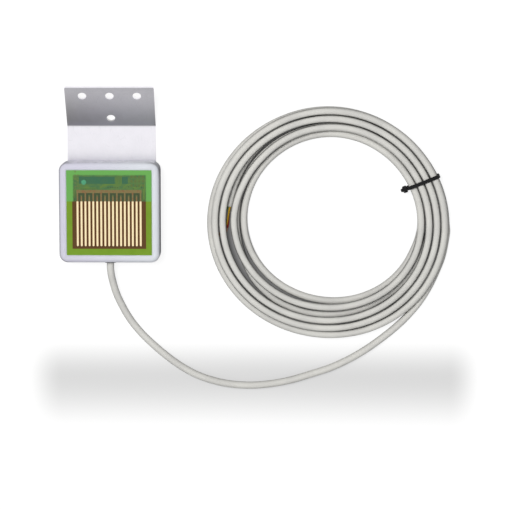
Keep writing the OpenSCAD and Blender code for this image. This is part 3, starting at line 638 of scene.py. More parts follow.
@dataclass(frozen=True)
class HeatedField:
    """Brown field of the heater under the comb: printed resistor lines, darker between the fingers."""

    brown: Colour = paint(92, 66, 38)
    dark: Colour = paint(80, 50, 24)
    red: Colour = paint(104, 58, 36)
    comb_half: float = 22.4
    half: float = 25.25
    top: float = 7.8
    low: float = -24.8
    comb_low: float = -23.0

    def material(self) -> bpy.types.Material:
        """Build the material: fine level lines, a darker middle and a thin reddish rim.

        Returns:
            The finished material.
        """
        g = Graph("heater_print_brown")
        x, y, _ = g.axes()
        middle = x.within(-self.comb_half, self.comb_half, 1.2) * y.within(self.comb_low, self.top + 2, 1.2)
        lines = ((y * 7.5).wave() + 1) * 0.5
        cloud = g.noise(0.5, 4).ramp(0.35, 0.7)
        inner = x.within(-self.half + 0.5, self.half - 0.5, 0.5)
        inner = inner * y.within(self.low + 0.4, self.top - 0.3, 0.4)
        colour = g.mix(middle, self.brown, self.dark)
        colour = g.mix((1 - inner) * 0.45 + cloud * 0.2, colour, self.red)
        return g.coat(
            Base_Color=g.mix(lines * 0.18, colour, self.brown),
            Roughness=0.42 + lines * 0.1,
            Specular_IOR_Level=0.2,
            Normal=g.bump(lines * 0.5 + g.noise(2.0, 3) * 0.5, 0.3, 0.02),
        )


@dataclass(frozen=True)
class CombPlating:
    """Plated comb: pale gold on the fingers, warmer and darker at their edges, partly a copper tint and
    partly painted shade, and bare bronze on bus and stubs.
    """

    pale: Colour = paint(254, 240, 196)
    # copper tint with painted shade for the fingers' edges
    edge: Colour = paint(216, 160, 108)
    bronze: Colour = paint(126, 112, 68)
    reddish: Colour = paint(134, 86, 54)
    pitch: float = 2.7
    finger: float = 1.4
    field_top: float = 7.8

    def material(self) -> bpy.types.Material:
        """Build the material: distance from the nearest finger's centre line warms and darkens the edges,
        partly as painted shade.

        Returns:
            The finished material.
        """
        g = Graph("comb_plating_gold")
        x, y, _ = g.axes()
        off = abs(x.offset_in(self.pitch))
        # painted shade, with a copper tint, towards each finger's edges
        edge = off.ramp(self.finger * 0.3, self.finger * 0.5)
        above = y.ramp(self.field_top - 0.15, self.field_top + 0.25)
        tarnish = g.noise(0.7, 4).ramp(0.45, 0.75)
        bronze = g.mix(tarnish, self.bronze, self.reddish)
        gold = g.mix(edge * 0.75 + tarnish * 0.12, self.pale, self.edge)
        brushed = g.noise(1.0, 2, g.scaled(g.place(), (5.0, 0.4, 1.0)))
        return g.coat(
            Base_Color=g.mix(above, gold, bronze),
            Metallic=0.94 - above * 0.74,
            Roughness=0.3 + tarnish * 0.1 + (brushed - 0.5) * 0.1,
            Normal=g.bump(brushed, 0.25, 0.01),
        )


@dataclass(frozen=True)
class Winding:
    """Lacquered copper winding: fine turns one above the other, with painted shade in the grooves between
    them.
    """

    copper: Colour = paint(186, 96, 48)
    # painted shade: the colour of the grooves between the turns
    gap: Colour = paint(92, 44, 24)
    pitch: float = 0.12

    def material(self) -> bpy.types.Material:
        """Build the material: a wave along Z draws the turns and paints shade in the grooves between them.

        Returns:
            The finished material.
        """
        g = Graph("relay_winding_copper")
        _, _, z = g.axes()
        turn = ((z * (math.tau / self.pitch)).wave() + 1) * 0.5
        patch = g.noise(0.8, 3)
        return g.coat(
            # painted shade darkens the grooves between the turns
            Base_Color=g.mix((1 - turn) * 0.6 + (patch - 0.5) * 0.3, self.copper, self.gap),
            Metallic=0.9,
            Roughness=0.3 + (1 - turn) * 0.15,
            Normal=g.bump(turn, 0.5, 0.03),
        )


class Finish(Enum):
    """The object's finishes, by the piece that wears them."""

    HOUSING = FrameShell()
    JACKET = Jacket()
    BRACKET = SheetMetal()
    LAMINATE = Laminate()
    MASK = CopperUnderMask()
    HEATER = HeatedField()
    COMB = CombPlating()
    WINDING = Winding()
    COVER = Moulded("cover_plastic_matt", paint(210, 211, 218), paint(202, 203, 211), 0.5, 0.03)
    SCREW = Metal("screw_zinc", paint(196, 197, 200), paint(160, 160, 162), 0.28)
    INSERT = Metal("insert_brass", paint(214, 178, 96), paint(172, 132, 66), 0.3, (6.0, 6.0, 0.5))
    RUBBER = Moulded("seal_rubber", paint(40, 40, 42), paint(52, 52, 54), 0.62, 0.03, 6.0, 0.3)
    SEALANT = Moulded("sealant_bead", paint(226, 230, 234), paint(214, 219, 225), 0.34, 0.01, 3.0)
    PADS = PadFields()
    TRACES = Moulded("traces_under_mask", paint(104, 136, 60), paint(92, 122, 58), 0.32, 0.015, 3.0, 0.25)
    DOTS = Moulded("dots_under_mask", paint(112, 128, 74), paint(98, 104, 60), 0.36, 0.015, 3.0, 0.3)
    TEAL_DOT = Moulded(
        "copper_dot_under_mask", paint(82, 170, 124), paint(74, 156, 116), 0.3, 0.015, 3.0, 0.5
    )
    # painted shade: dark discs stand for the shade inside the drilled holes
    DARK_DOTS = Moulded("drilled_holes", paint(52, 64, 46), paint(60, 74, 52), 0.6, 0.01, 3.0, 0.3)
    TINNED = Metal("tinned_leads", paint(206, 207, 210), paint(170, 170, 172), 0.26, (3.0, 3.0, 3.0))
    SOLDER = Metal("solder_bright", paint(200, 202, 206), paint(158, 160, 165), 0.22, (2.0, 2.0, 2.0))
    CHIP = Moulded("chip_epoxy", paint(30, 30, 32), paint(40, 40, 42), 0.55, 0.02, 9.0, 0.35)
    CERAMIC = Moulded("ceramic_tan", paint(186, 158, 118), paint(170, 142, 104), 0.45, 0.01, 8.0)
    CAN = Metal("capacitor_can", paint(204, 205, 209), paint(182, 183, 187), 0.24, (7.0, 7.0, 0.3))
    IRON = Metal("relay_iron", paint(176, 178, 182), paint(140, 138, 136), 0.34, (0.6, 4.0, 0.6))
    BRONZE = Metal("contact_bronze", paint(216, 164, 100), paint(170, 118, 68), 0.3, (0.5, 5.0, 0.5))
    BOBBIN = Moulded("bobbin_nylon", paint(232, 230, 214), paint(222, 218, 200), 0.5, 0.01, 6.0)
    RELAY_BASE = Moulded("relay_base_plastic", paint(52, 54, 60), paint(60, 62, 68), 0.5, 0.02, 6.0)
    RELAY_CAP = Moulded("relay_cap_plastic", paint(214, 212, 200), paint(204, 201, 188), 0.38, 0.015, 5.0)
    WHITE = Moulded("core_white", paint(238, 238, 232), paint(228, 227, 220), 0.4, 0.01, 8.0)
    BROWN = Moulded("core_brown", paint(176, 52, 30), paint(158, 44, 26), 0.4, 0.01, 8.0)
    GREEN = Moulded("core_green", paint(58, 136, 70), paint(50, 122, 62), 0.4, 0.01, 8.0)
    YELLOW = Moulded("core_yellow", paint(222, 176, 40), paint(206, 160, 34), 0.4, 0.01, 8.0)
    STRANDS = Metal("bare_copper_strands", paint(222, 150, 104), paint(186, 112, 70), 0.28, (3.0, 3.0, 3.0))
    NYLON = Moulded("tie_nylon_black", paint(12, 12, 13), paint(20, 20, 22), 0.3, 0.012, 5.0, 0.18)

    def made(self) -> bpy.types.Material:
        """The finish's material, built once.

        Returns:
            The material, the same one for every piece that wears the finish.
        """
        if self not in _MADE:
            _MADE[self] = self.value.material()
        return _MADE[self]


_MADE: dict[Finish, bpy.types.Material] = {}


# Surfaces


@dataclass
class Shell:
    """A closed surface in millimetres: points, faces and a UV pair for each corner of each face."""

    points: np.ndarray
    faces: list[list[int]]
    corners: np.ndarray

    @staticmethod
    def joined(shells: Iterable["Shell"]) -> "Shell":
        """Several shells as one piece.

        Args:
            shells: the shells to join.

        Returns:
            One shell with all their points and faces.
        """
        parts = list(shells)
        starts = np.cumsum([0] + [len(part.points) for part in parts])
        faces = [[int(start) + i for i in face] for part, start in zip(parts, starts) for face in part.faces]
        points = np.concatenate([part.points for part in parts])
        return Shell(points, faces, np.concatenate([part.corners for part in parts]))

    @staticmethod
    def lofted(rings: np.ndarray, closed: bool = False) -> "Shell":
        """Skin over rings of points.

        Face (i, j) joins points j and j + 1 of ring i with those of ring i + 1, and the last point of a
        ring with its first. An open skin gets a flat cap on its first and last ring; a closed one joins
        its last ring to its first. U is the length along the rings' middles, V goes round from 0 to 1.

        Args:
            rings: array of rings, points and coordinates.
            closed: whether the last ring joins the first.

        Returns:
            The surface.
        """
        count, sides, _ = rings.shape
        rows = count if closed else count - 1
        i, j = (grid.ravel() for grid in np.meshgrid(np.arange(rows), np.arange(sides), indexing="ij"))
        after, beside = (i + 1) % count, (j + 1) % sides
        quads = np.stack([i * sides + j, i * sides + beside, after * sides + beside, after * sides + j], 1)
        middle = rings.mean(1)
        steps = np.linalg.norm(np.diff(np.concatenate([middle, middle[:1]]), axis=0), axis=1)
        along = np.concatenate([[0], np.cumsum(steps)])
        u = np.stack([along[i], along[i], along[i + 1], along[i + 1]], 1)
        v = np.stack([j, j + 1, j + 1, j], 1) / sides
        corners = np.stack([u, v], 2).reshape(-1, 2)
        faces = quads.tolist()
        if not closed:
            round_once = np.arange(sides)
            faces += [round_once[::-1].tolist(), (round_once + (count - 1) * sides).tolist()]
            ends = np.stack([np.repeat([0.0, along[count - 1]], sides), np.tile(round_once / sides, 2)], 1)
            corners = np.concatenate([corners, ends])
        return Shell(rings.reshape(-1, 3), faces, corners)

    def turned(self, matrix: np.ndarray, offset: Sequence[float]) -> "Shell":
        """The shell turned by a matrix whose columns are its axes, then moved."""
        return Shell(self.points @ np.asarray(matrix).T + np.asarray(offset, float), self.faces, self.corners)

    def piece(self, name: str, finish: Finish, smooth_deg: float = 35.0) -> bpy.types.Object:
        """Make the shell a Blender object.

        Args:
            name: the object's name.
            finish: what it wears.
            smooth_deg: edges with a larger angle stay sharp.

        Returns:
            The object, at the origin, its faces outwards.
        """
        mesh = bpy.data.meshes.new(name)
        mesh.from_pydata((self.points * MM).tolist(), [], self.faces)
        layer = mesh.uv_layers.new(name="UVMap")
        layer.data.foreach_set("uv", self.corners.astype(np.float32).ravel())
        return finished_object(name, mesh, finish, smooth_deg)


def linked(name: str, data: bpy.types.ID) -> bpy.types.Object:
    """A new object in the scene, at the origin.

    Args:
        name: its name.
        data: its mesh, lamp or camera.

    Returns:
        The object.
    """
    made = bpy.data.objects.new(name, data)
    bpy.context.scene.collection.objects.link(made)
    return made


def finished_object(name: str, mesh: bpy.types.Mesh, finish: Finish, smooth_deg: float) -> bpy.types.Object:
    """Merge doubles, turn the faces outwards, shade the mesh and make it an object.

    Args:
        name: the object's name.
        mesh: its mesh, changed in place.
        finish: what it wears.
        smooth_deg: edges with a larger angle stay sharp.

    Returns:
        The new object, linked to the scene.
    """
    work = bmesh.new()
    work.from_mesh(mesh)
    bmesh.ops.remove_doubles(work, verts=work.verts, dist=DOUBLES_M)
    bmesh.ops.recalc_face_normals(work, faces=work.faces)
    work.to_mesh(mesh)
    work.free()
    mesh.shade_smooth()
    mesh.set_sharp_from_angle(angle=math.radians(smooth_deg))
    mesh.materials.append(finish.made())
    return linked(name, mesh)


def softened(node: str, name: str, finish: Finish, width: float) -> bpy.types.Object:
    """Copy a CAD node with rounded edges.

    The copy's loose triangles are merged by distance and its flat faces joined; a Bevel modifier then
    rounds each edge over 30 degrees.

    Args:
        node: the CAD node.
        name: the new object's name.
        finish: what it wears.
        width: the rounding, in millimetres.

    Returns:
        The new object, which replaces the node.
    """
    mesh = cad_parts[node].data.copy()
    mesh.materials.clear()
    work = bmesh.new()
    work.from_mesh(mesh)
    bmesh.ops.remove_doubles(work, verts=work.verts, dist=CAD_DOUBLES_M)
    flat = math.radians(FLAT_DEG)
    bmesh.ops.dissolve_limit(work, angle_limit=flat, verts=work.verts, edges=work.edges)
    work.to_mesh(mesh)
    work.free()
    made = finished_object(name, mesh, finish, 40.0)
    bevel = made.modifiers.new("rounded_edges", "BEVEL")
    bevel.width = width * MM
    bevel.segments = 2
    bevel.limit_method = "ANGLE"
    bevel.angle_limit = math.radians(ROUNDED_OVER_DEG)
    bevel.harden_normals = True
    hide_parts(node)
    return made


def dressed(wearing: dict[str, Finish]) -> None:
    """Give the objects of CAD nodes a finish each.

    Args:
        wearing: the finish of each node, by name.
    """
    for node, finish in wearing.items():
        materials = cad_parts[node].data.materials
        materials.clear()
        materials.append(finish.made())
        LOG.info("CAD node %s wears %s", node, finish.name.lower())


def reported(piece: bpy.types.Object, body: str = "sensor") -> bpy.types.Object:
    """Let a piece ride on its body and log it.

    Args:
        piece: the finished piece.
        body: the body that it moves with.

    Returns:
        The same piece.
    """
    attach(piece, body)
    LOG.info("piece %s: %d faces", piece.name, len(piece.data.polygons))
    return piece


def unit(vectors: np.ndarray) -> np.ndarray:
    """Vectors along the last axis, brought to length 1."""
    return vectors / np.linalg.norm(vectors, axis=-1, keepdims=True)


def circle(sides: int) -> tuple[np.ndarray, np.ndarray]:
    """Cosine and sine of even steps once round."""
    angle = np.arange(sides) * math.tau / sides
    return np.cos(angle), np.sin(angle)


def quarter_circles(steps: int) -> tuple[np.ndarray, np.ndarray]:
    """Points of four quarter circles of radius 1, one after the other, and the signs of their centres.

    Args:
        steps: points on each quarter.

    Returns:
        The points, and for each the signs of its centre.
    """
    angle = (np.linspace(0, np.pi / 2, steps) + np.arange(4)[:, None] * np.pi / 2).ravel()
    sign = np.repeat([[1, 1], [-1, 1], [-1, -1], [1, -1]], steps, axis=0)
    return np.stack([np.cos(angle), np.sin(angle)], 1), sign


def rings_of(x: np.ndarray, y: np.ndarray, z: np.ndarray) -> np.ndarray:
    """Rings of points from coordinates that have, or stretch to, one row for each ring."""
    return np.stack(np.broadcast_arrays(x, y, z), 2)


def framed(profile: np.ndarray, outer_half: float) -> Shell:
    """Carry a closed profile round a square frame with round corners.

    Each point of the profile goes round a square whose corners are quarter circles of the point's own
    radius; their centres are (half - radius) from both axes, and straight sides join them.

    Args:
        profile: rows of inset from the outer side, height and corner radius there.
        outer_half: half the frame's outer width.

    Returns:
        The closed frame.
    """
    inset, height, radius = (column[:, None] for column in profile.T)
    arc, sign = quarter_circles(CORNER_STEPS)
    flat = (outer_half - inset - radius)[:, None] * sign + radius[:, None] * arc
    return Shell.lofted(rings_of(flat[..., 0], flat[..., 1], height), closed=True)


def smooth_route(points: np.ndarray, samples: int) -> np.ndarray:
    """Smooth curve through points.

    Between two points it is the cubic whose slope at each is half the way between that point's
    neighbours; the ends take a mirrored neighbour.

    Args:
        points: the points to pass through.
        samples: points on each stretch.

    Returns:
        The curve's points, the last one included.
    """
    ends = np.concatenate([[2 * points[0] - points[1]], points, [2 * points[-1] - points[-2]]])
    a, b, c, d = ends[:-3, None], ends[1:-2, None], ends[2:-1, None], ends[3:, None]
    t = (np.arange(samples) / samples)[None, :, None]
    curve = 0.5 * (2 * b + (c - a) * t + (2 * a - 5 * b + 4 * c - d) * t**2 + (3 * b - a - 3 * c + d) * t**3)
    return np.concatenate([curve.reshape(-1, 3), points[-1:]])


def evenly(points: np.ndarray, step: float) -> np.ndarray:
    """Points at even distances along a line: each coordinate is read off against the length so far.

    Args:
        points: corners of the line.
        step: about the distance wanted.

    Returns:
        The new points, the first and the last corner among them.
    """
    length = np.concatenate([[0], np.cumsum(np.linalg.norm(np.diff(points, axis=0), axis=1))])
    even = np.linspace(0, length[-1], max(int(round(length[-1] / step)), 2) + 1)
    return np.stack([np.interp(even, length, points[:, axis]) for axis in range(3)], 1)


def across(path: np.ndarray, up: Sequence[float] = (0, 0, 1)) -> tuple[np.ndarray, np.ndarray]:
    """Unit directions to a path's side (along x up) and over it (side x along).

    Args:
        path: points of the path.
        up: a direction that the path never takes.

    Returns:
        The side and the over direction at each point.
    """
    ahead = unit(np.gradient(path, axis=0))
    side = unit(np.cross(ahead, up))
    return side, np.cross(side, ahead)


def tube(path: np.ndarray, radius: np.ndarray | float, sides: int, up: Sequence[float] = (0, 0, 1)) -> Shell:
    """Round tube along a path.

    Point k of a ring is the path's point plus radius times (side cos + over sin) of k turns / sides.

    Args:
        path: the centre line.
        radius: one radius, or one for each point of the path.
        sides: points round the tube.
        up: a direction that the path never takes.

    Returns:
        The tube with flat ends.
    """
    side, over = across(path, up)
    cos, sin = circle(sides)
    rim = side[:, None] * cos[:, None] + over[:, None] * sin[:, None]
    return Shell.lofted(path[:, None] + np.broadcast_to(radius, len(path))[:, None, None] * rim)


def flat_strip(points: Sequence[Pair], width: float, low: float, thick: float) -> Shell:
    """Flat strip along a line in the board's plane: the line offset to both sides, low and high.

    Args:
        points: corners of the line.
        width: its width.
        low: height of its underside.
        thick: its thickness.

    Returns:
        The strip.
    """
    line = np.array([(x, y, low) for x, y in points], float)
    half = across(line)[0] * width / 2
    up = np.array([0, 0, thick])
    return Shell.lofted(np.stack([line - half, line + half, line + half + up, line - half + up], 1))


def disc(x: float, y: float, radius: float, low: float, thick: float, sides: int = 20) -> Shell:
    """Low round button with a small bevel: rings of growing height, the last one drawn in.

    Args:
        x: the centre's place along X.
        y: the same along Y.
        radius: its radius at the foot.
        low: height of its foot.
        thick: its thickness.
        sides: points round it.

    Returns:
        The button.
    """
    cos, sin = circle(sides)
    radii = np.array([[radius], [radius], [radius - thick * 0.5]])
    heights = np.array([[low], [low + thick * 0.6], [low + thick]])
    return Shell.lofted(rings_of(x + radii * cos, y + radii * sin, heights))


# Studio


@dataclass
class Studio:
    """Camera, lamps, world, floor and reflection cards; lengths are in millimetres."""

    target: Triple = (100.0, -30.0, 8.0)
    distance: float = 1650.0
    tilt_deg: float = 6.8
    pan_deg: float = 1.0
    lens: float = 168.8
    shift: Pair = (-0.0008, -0.0005)
    sky: float = 0.24
    key_watts: float = 27.0
    fill_watts: float = 3.0
    floor_half: float = 1500.0
    floor_z: float = -0.2
    floor_glow: float = 0.87
    floor_albedo: float = 0.22
    # painted shade: share of the floor's glow taken away under the coil
    shade_under_coil: float = 0.92
    # painted shade: how much darker reflections see the floor beside the housing and the coil
    mirrored: float = 0.9
    by_housing: Pair = (-46.0, 46.0)
    by_coil: Pair = (50.0, 92.0)
    shade_soft: float = 8.0
    # painted shadow: depth and extent of the soft grey strip below the object
    shadow_band_depth: float = 0.41
    shadow_band_low: Pair = (-163.0, -117.0)
    shadow_band_top: Pair = (-117.0, -84.0)
    shadow_band_left: Pair = (-66.0, -34.0)
    shadow_band_right: Pair = (234.0, 262.0)
    card_grey: float = 0.5
    flag_grey: float = 0.01
    card: tuple[Triple, ...] = ((-1200, -420, 0), (1400, -420, 0), (1400, -520, 620), (-1200, -520, 620))
    flag: tuple[Triple, ...] = ((41, -33, 0), (41, 33, 0), (43, 33, 12), (43, -33, 12))

    def camera(self) -> None:
        """Set the camera: its own Z points from the target to it, and its Y as near to +Y as it can."""
        back = np.array([math.sin(math.radians(self.pan_deg)), math.sin(math.radians(self.tilt_deg)), 0.0])
        back[2] = math.sqrt(1 - back @ back)
        up = unit(np.array([0.0, 1.0, 0.0]) - back[1] * back)
        axes = Matrix(np.stack([np.cross(up, back), up, back], 1).tolist())
        data = bpy.data.cameras.new("photo_camera")
        data.lens = self.lens
        data.sensor_width = 36.0
        data.shift_x, data.shift_y = self.shift
        data.clip_start = 0.05
        data.clip_end = 20.0
        made = linked("photo_camera", data)
        place = (np.array(self.target) + self.distance * back) * MM
        made.matrix_world = Matrix.Translation(Vector(place)) @ axes.to_4x4()
        bpy.context.scene.camera = made

    @staticmethod
    def _seen(graph: Graph) -> Value:
        """1 for rays that show the background: straight, mirrored or passing through.

        Args:
            graph: the material or world that asks.

        Returns:
            The mask.
        """
        path = graph.node("ShaderNodeLightPath").outputs
        camera, glossy = Value(graph, path["Is Camera Ray"]), Value(graph, path["Is Glossy Ray"])
        return (camera + glossy + Value(graph, path["Is Transmission Ray"])).least(1.0)

    def world(self) -> None:
        """White for rays that show the background, an even grey sky for the rest."""
        graph = Graph("soft_room", bpy.data.worlds)
        strength = self._seen(graph) * (1 - self.sky) + self.sky
        shell = graph.result("ShaderNodeBackground", None, {"Color": WHITE_LIGHT, "Strength": strength})
        bpy.context.scene.world = graph.finished(shell, "ShaderNodeOutputWorld")

    def lamp(self, name: str, place: Triple, size: float, watts: float, tint: Triple) -> None:
        """Hang a square soft lamp that looks at the target; its place and size are in metres.

        Args:
            name: the lamp's name.
            place: where it hangs, in metres.
            size: its side, in metres.
            watts: its power.
            tint: its linear colour.
        """
        data = bpy.data.lights.new(name, "AREA")
        data.shape = "SQUARE"
        data.size = size
        data.energy = watts
        data.color = tint
        made = linked(name, data)
        turn = (Vector(place) - Vector(self.target) * MM).to_track_quat("Z", "Y").to_matrix()
        made.matrix_world = Matrix.Translation(Vector(place)) @ turn.to_4x4()
        made.visible_glossy = False

    @staticmethod
    def _sheet(
        name: str, corners: Sequence[Triple], material: bpy.types.Material, hidden_from: Sequence[str] = ()
    ) -> None:
        """Put up a flat four-sided stage piece that the named kinds of ray don't meet.

        Args:
            name: the piece's name.
            corners: its corners, in order, in millimetres.
            material: what it wears.
            hidden_from: kinds of ray that pass through it.
        """
        mesh = bpy.data.meshes.new(name)
        mesh.from_pydata((np.array(corners) * MM).tolist(), [], [[0, 1, 2, 3]])
        mesh.materials.append(material)
        made = linked(name, mesh)
        made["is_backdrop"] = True
        for ray in hidden_from:
            setattr(made, f"visible_{ray}", False)

    def floor(self) -> None:
        """Pale floor: glows white where it is seen, and takes the object's soft shadow.

        A soft grey strip of painted shadow runs below the object, painted shade dims the floor under the
        coil, and reflections see the floor beside the object in painted shade.
        """
        graph = Graph("floor_white")
        x, y, _ = graph.axes()
        ring = CoilRing()
        soft = self.shade_soft
        by_housing = x.within(*self.by_housing, 2 * soft) * y.within(*self.by_housing, 2 * soft)
        beside = by_housing.most(ring.reach(x, y).within(*self.by_coil, soft))
        glossy = graph.result("ShaderNodeLightPath", output="Is Glossy Ray")
        level = y.ramp(*self.shadow_band_low) * (1 - y.ramp(*self.shadow_band_top))
        # painted shadow: the soft grey strip below the object
        shadow_band = level * x.ramp(*self.shadow_band_left) * (1 - x.ramp(*self.shadow_band_right))
        # painted shade under the coil and the painted shadow strip both dim the glow
        glow = self.floor_glow * (1 - ring.mask(x, y) * self.shade_under_coil) * (1 - shadow_band * self.shadow_band_depth)
        # painted shade in reflections of the floor beside the housing and the coil
        strength = self._seen(graph) * glow * (1 - glossy * beside * self.mirrored)
        matt = graph.result("ShaderNodeBsdfDiffuse", None, {"Color": (*(self.floor_albedo,) * 3, 1)})
        light = graph.result("ShaderNodeEmission", None, {"Color": WHITE_LIGHT, "Strength": strength})
        both = graph.result("ShaderNodeAddShader", None, {0: matt, 1: light})
        half, z = self.floor_half, self.floor_z
        square = [(-half, -half, z), (half, -half, z), (half, half, z), (-half, half, z)]
        self._sheet("floor", square, graph.finished(both))

    def cards(self) -> None:
        """Grey card beyond the lower edge of the view for mirrored rays, black flag at the right wall."""
        grey = Graph("card_grey")
        glow = grey.result("ShaderNodeEmission", None, {"Color": WHITE_LIGHT, "Strength": self.card_grey})
        self._sheet("reflection_card", self.card, grey.finished(glow), ("camera", "diffuse", "shadow"))
        black = Graph("flag_black")
        dull = black.result("ShaderNodeBsdfDiffuse", None, {"Color": (*(self.flag_grey,) * 3, 1)})
        self._sheet("wall_flag", self.flag, black.finished(dull), ("camera", "shadow"))

    def build(self) -> None:
        """Set up the whole studio."""
        self.world()
        self.floor()
        self.cards()
        self.lamp("key_lamp", (-0.35, 0.45, 1.9), 0.8, self.key_watts, (1.0, 0.995, 0.985))
        self.lamp("fill_lamp", (0.2, -0.9, 1.5), 1.2, self.fill_watts, (0.96, 0.98, 1.0))


# Cable


@dataclass
class Cable:
    """The signal cable: free stretch, tied coil of six and a half turns, and the four bared cores."""

    diameter: float = 5.0
    exit_y: float = -35.3
    exit_z: float = 9.5
    tail_end_y: float = -19.0
    centre: Pair = COIL_CENTRE
    turns: float = 6.47
    pitch: float = 5.3
    layer_step: float = 5.5
    tie_at: float = 22.0
    tight_at: float = 56.0
    tie_lift: float = 1.25
    inset: tuple[Pair, ...] = (
        (0, 0), (0.06, 0.04), (0.2, 0.14), (0.32, 0.14), (0.5, -0.1), (0.8, -0.24), (3.1, 2.07), (3.2, 2.16),
        (3.3, 2.42), (3.38, 2.72), (3.44, 2.74), (3.5, 2.5), (3.65, 2.61), (4.25, 3.14), (4.35, 3.31),
        (4.46, 3.42), (4.52, 3.34), (4.65, 3.27), (4.75, 3.22), (4.85, 3.22), (4.94, 3.14), (5, 2.7),
        (5.06, 2.13), (5.17, 2.12), (5.25, 2.16), (5.35, 2.34), (5.46, 2.59), (5.5, 2.62), (5.53, 2.6),
        (5.57, 2.38), (5.61, 1.88), (5.66, 1.57), (5.71, 1.59), (5.77, 1.8), (5.85, 2.17), (5.93, 2.2),
        (6, 1.7), (6.06, 1.12), (6.2, 1.14), (6.25, 1.16), (6.35, 1.36), (6.46, 1.9), (6.5, 1.92),
    )
    layer: tuple[Pair, ...] = ((0, 0), (0.5, 0), (1, 1), (3.98, 1), (4.28, 0), (6.5, 0))
    spread: tuple[Pair, ...] = (
        (0, 0), (2.9, 0), (3.5, 3.2), (3.75, 4.4), (4.5, 6.4), (4.75, 5.8), (5, 5.2), (5.5, 4.6), (6.1, 3),
        (6.5, 1.8),
    )
    arrival: tuple[Pair, ...] = ((0, 1.3), (0.04, 0.9), (0.09, 0.3), (0.15, 0))
    route: tuple[Triple, ...] = (
        (1.1, -47.8, 7.6), (4.4, -59.3, 5.2), (11.4, -73.4, 3.2), (19.6, -84.4, 2.6), (28.6, -93.4, 2.5),
        (38.4, -101.8, 2.5), (48.4, -109, 2.5), (58.7, -114.7, 2.5), (68.9, -118.4, 2.5), (78.9, -120.8, 2.5),
        (90, -122, 2.5), (101, -122, 2.5), (113, -120.7, 2.5), (126.1, -118, 2.5), (139.3, -113.9, 2.5),
        (152.2, -109.6, 2.5), (165, -103.6, 2.5), (176.8, -96.6, 2.5), (188.4, -88.2, 2.5),
        (198.4, -79.9, 2.5), (206.6, -71.6, 2.5), (213.7, -62.8, 2.5), (219.8, -52.9, 2.5),
        (224.9, -42, 2.5), (229.1, -30.5, 2.5),
    )
    pad_y: float = 10.5
    pad_z: float = 16.6
    pad_step: float = 3.0
    pad_order: tuple[int, ...] = (0, 2, 1, 3)
    low_cores: float = -1.8
    core_diameter: float = 1.3
    core_spread: float = 0.85
    core_lengths: tuple[float, ...] = (13.0, 18.0, 15.0, 20.0)
    core_fans: tuple[float, ...] = (0.5, 1.1, 1.6, 0.7)
    bare_length: float = 4.0
    strand_diameter: float = 0.7
    strand_lay: float = 9.0
    names: tuple[str, ...] = ("yellow", "green", "brown", "white")
    sides: int = 20
    core_sides: int = 14
    wire_sides: int = 8
    jacket_cut: float = 0.15
    core_cut: float = 0.12
    jacket_step: float = 1.9
    smooth_deg: float = 60.0

    @staticmethod
    def outline(angle: np.ndarray | float) -> np.ndarray | float:
        """Radius of the coil's outermost line: a circle with a first, a second and a third wave.

        Args:
            angle: the angle about the coil's centre, in radians.

        Returns:
            The radius.
        """
        first = 1.75 * np.cos(angle) + 2.37 * np.sin(angle)
        second = 1.3 * np.cos(2 * angle) - 0.25 * np.sin(2 * angle)
        third = 0.4 * np.cos(3 * (angle - math.radians(20)))
        return 78.85 - first + second - third

    def coil_radius(self, turn: np.ndarray) -> np.ndarray:
        """Distance from the coil's centre.

        Each turn lies pitch times its inset nearer the centre than the outline, and the inner turns spread
        further in, away from where the tie holds them.

        Args:
            turn: turns since the coil began.

        Returns:
            The radius at each.
        """
        angle = turn * math.tau
        drawn_in = self.pitch * self._read(turn, self.inset) - self._read(turn, self.arrival)
        away = (1 - np.cos(angle - math.radians(self.tight_at))) / 2
        return self.outline(angle) - drawn_in - self._read(turn, self.spread) * away**1.5

    def coil_height(self, turn: np.ndarray) -> np.ndarray:
        """Height of the centre line.

        It is the cable's radius, plus a layer that is climbed smoothly, plus the low hump that lets the
        tie pass underneath.

        Args:
            turn: turns since the coil began.

        Returns:
            The height at each.
        """
        climb = self._read(turn, self.layer)
        hump = np.maximum(np.cos(turn * math.tau - math.radians(self.tie_at)), 0) ** 24
        return self.diameter / 2 + self.layer_step * climb**2 * (3 - 2 * climb) + self.tie_lift * hump

    @staticmethod
    def _read(turn: np.ndarray, table: Sequence[Pair]) -> np.ndarray:
        """Read a table of turns and values, in straight lines between its rows."""
        rows = np.array(table, float)
        return np.interp(turn, rows[:, 0], rows[:, 1])

    def coil_points(self, turn: np.ndarray) -> np.ndarray:
        """Centre line of the coil at the given turns.

        Args:
            turn: turns since the coil began.

        Returns:
            A point for each.
        """
        angle, radius = turn * math.tau, self.coil_radius(turn)
        x, y = self.centre[0] + radius * np.cos(angle), self.centre[1] + radius * np.sin(angle)
        return np.stack([x, y, self.coil_height(turn)], 1)

    def heading(self, turn: float) -> np.ndarray:
        """Direction of the coil at a turn."""
        before, after = self.coil_points(np.array([turn - 0.01, turn + 0.01]))
        return unit(after - before)

    def centre_line(self) -> np.ndarray:
        """The whole cable: straight out of the housing, along the route, and round the coil.

        Returns:
            Points at even distances, from the housing to the cut end.
        """
        first, last = self.coil_points(np.array([0.0, self.turns]))
        inward, outward = self.heading(0.0), self.heading(self.turns)
        d = self.diameter
        start = [(0, self.exit_y, self.exit_z), (0, self.exit_y - d, self.exit_z)]
        lead = np.array([*start, *self.route, first - 2 * d * inward, first - d * inward, first])
        coil = self.coil_points(np.linspace(0, self.turns, 900))[1:]
        whole = np.concatenate([smooth_route(lead, 12), coil, [last + d * outward]])
        return evenly(whole, self.jacket_step)

    @staticmethod
    def _quarter(index: int) -> tuple[int, int]:
        """Where a core lies in the jacket: -1 or 1 to the side, and 1 or -1 in height."""
        return -1 if index % 2 == 0 else 1, 1 if index < 2 else -1

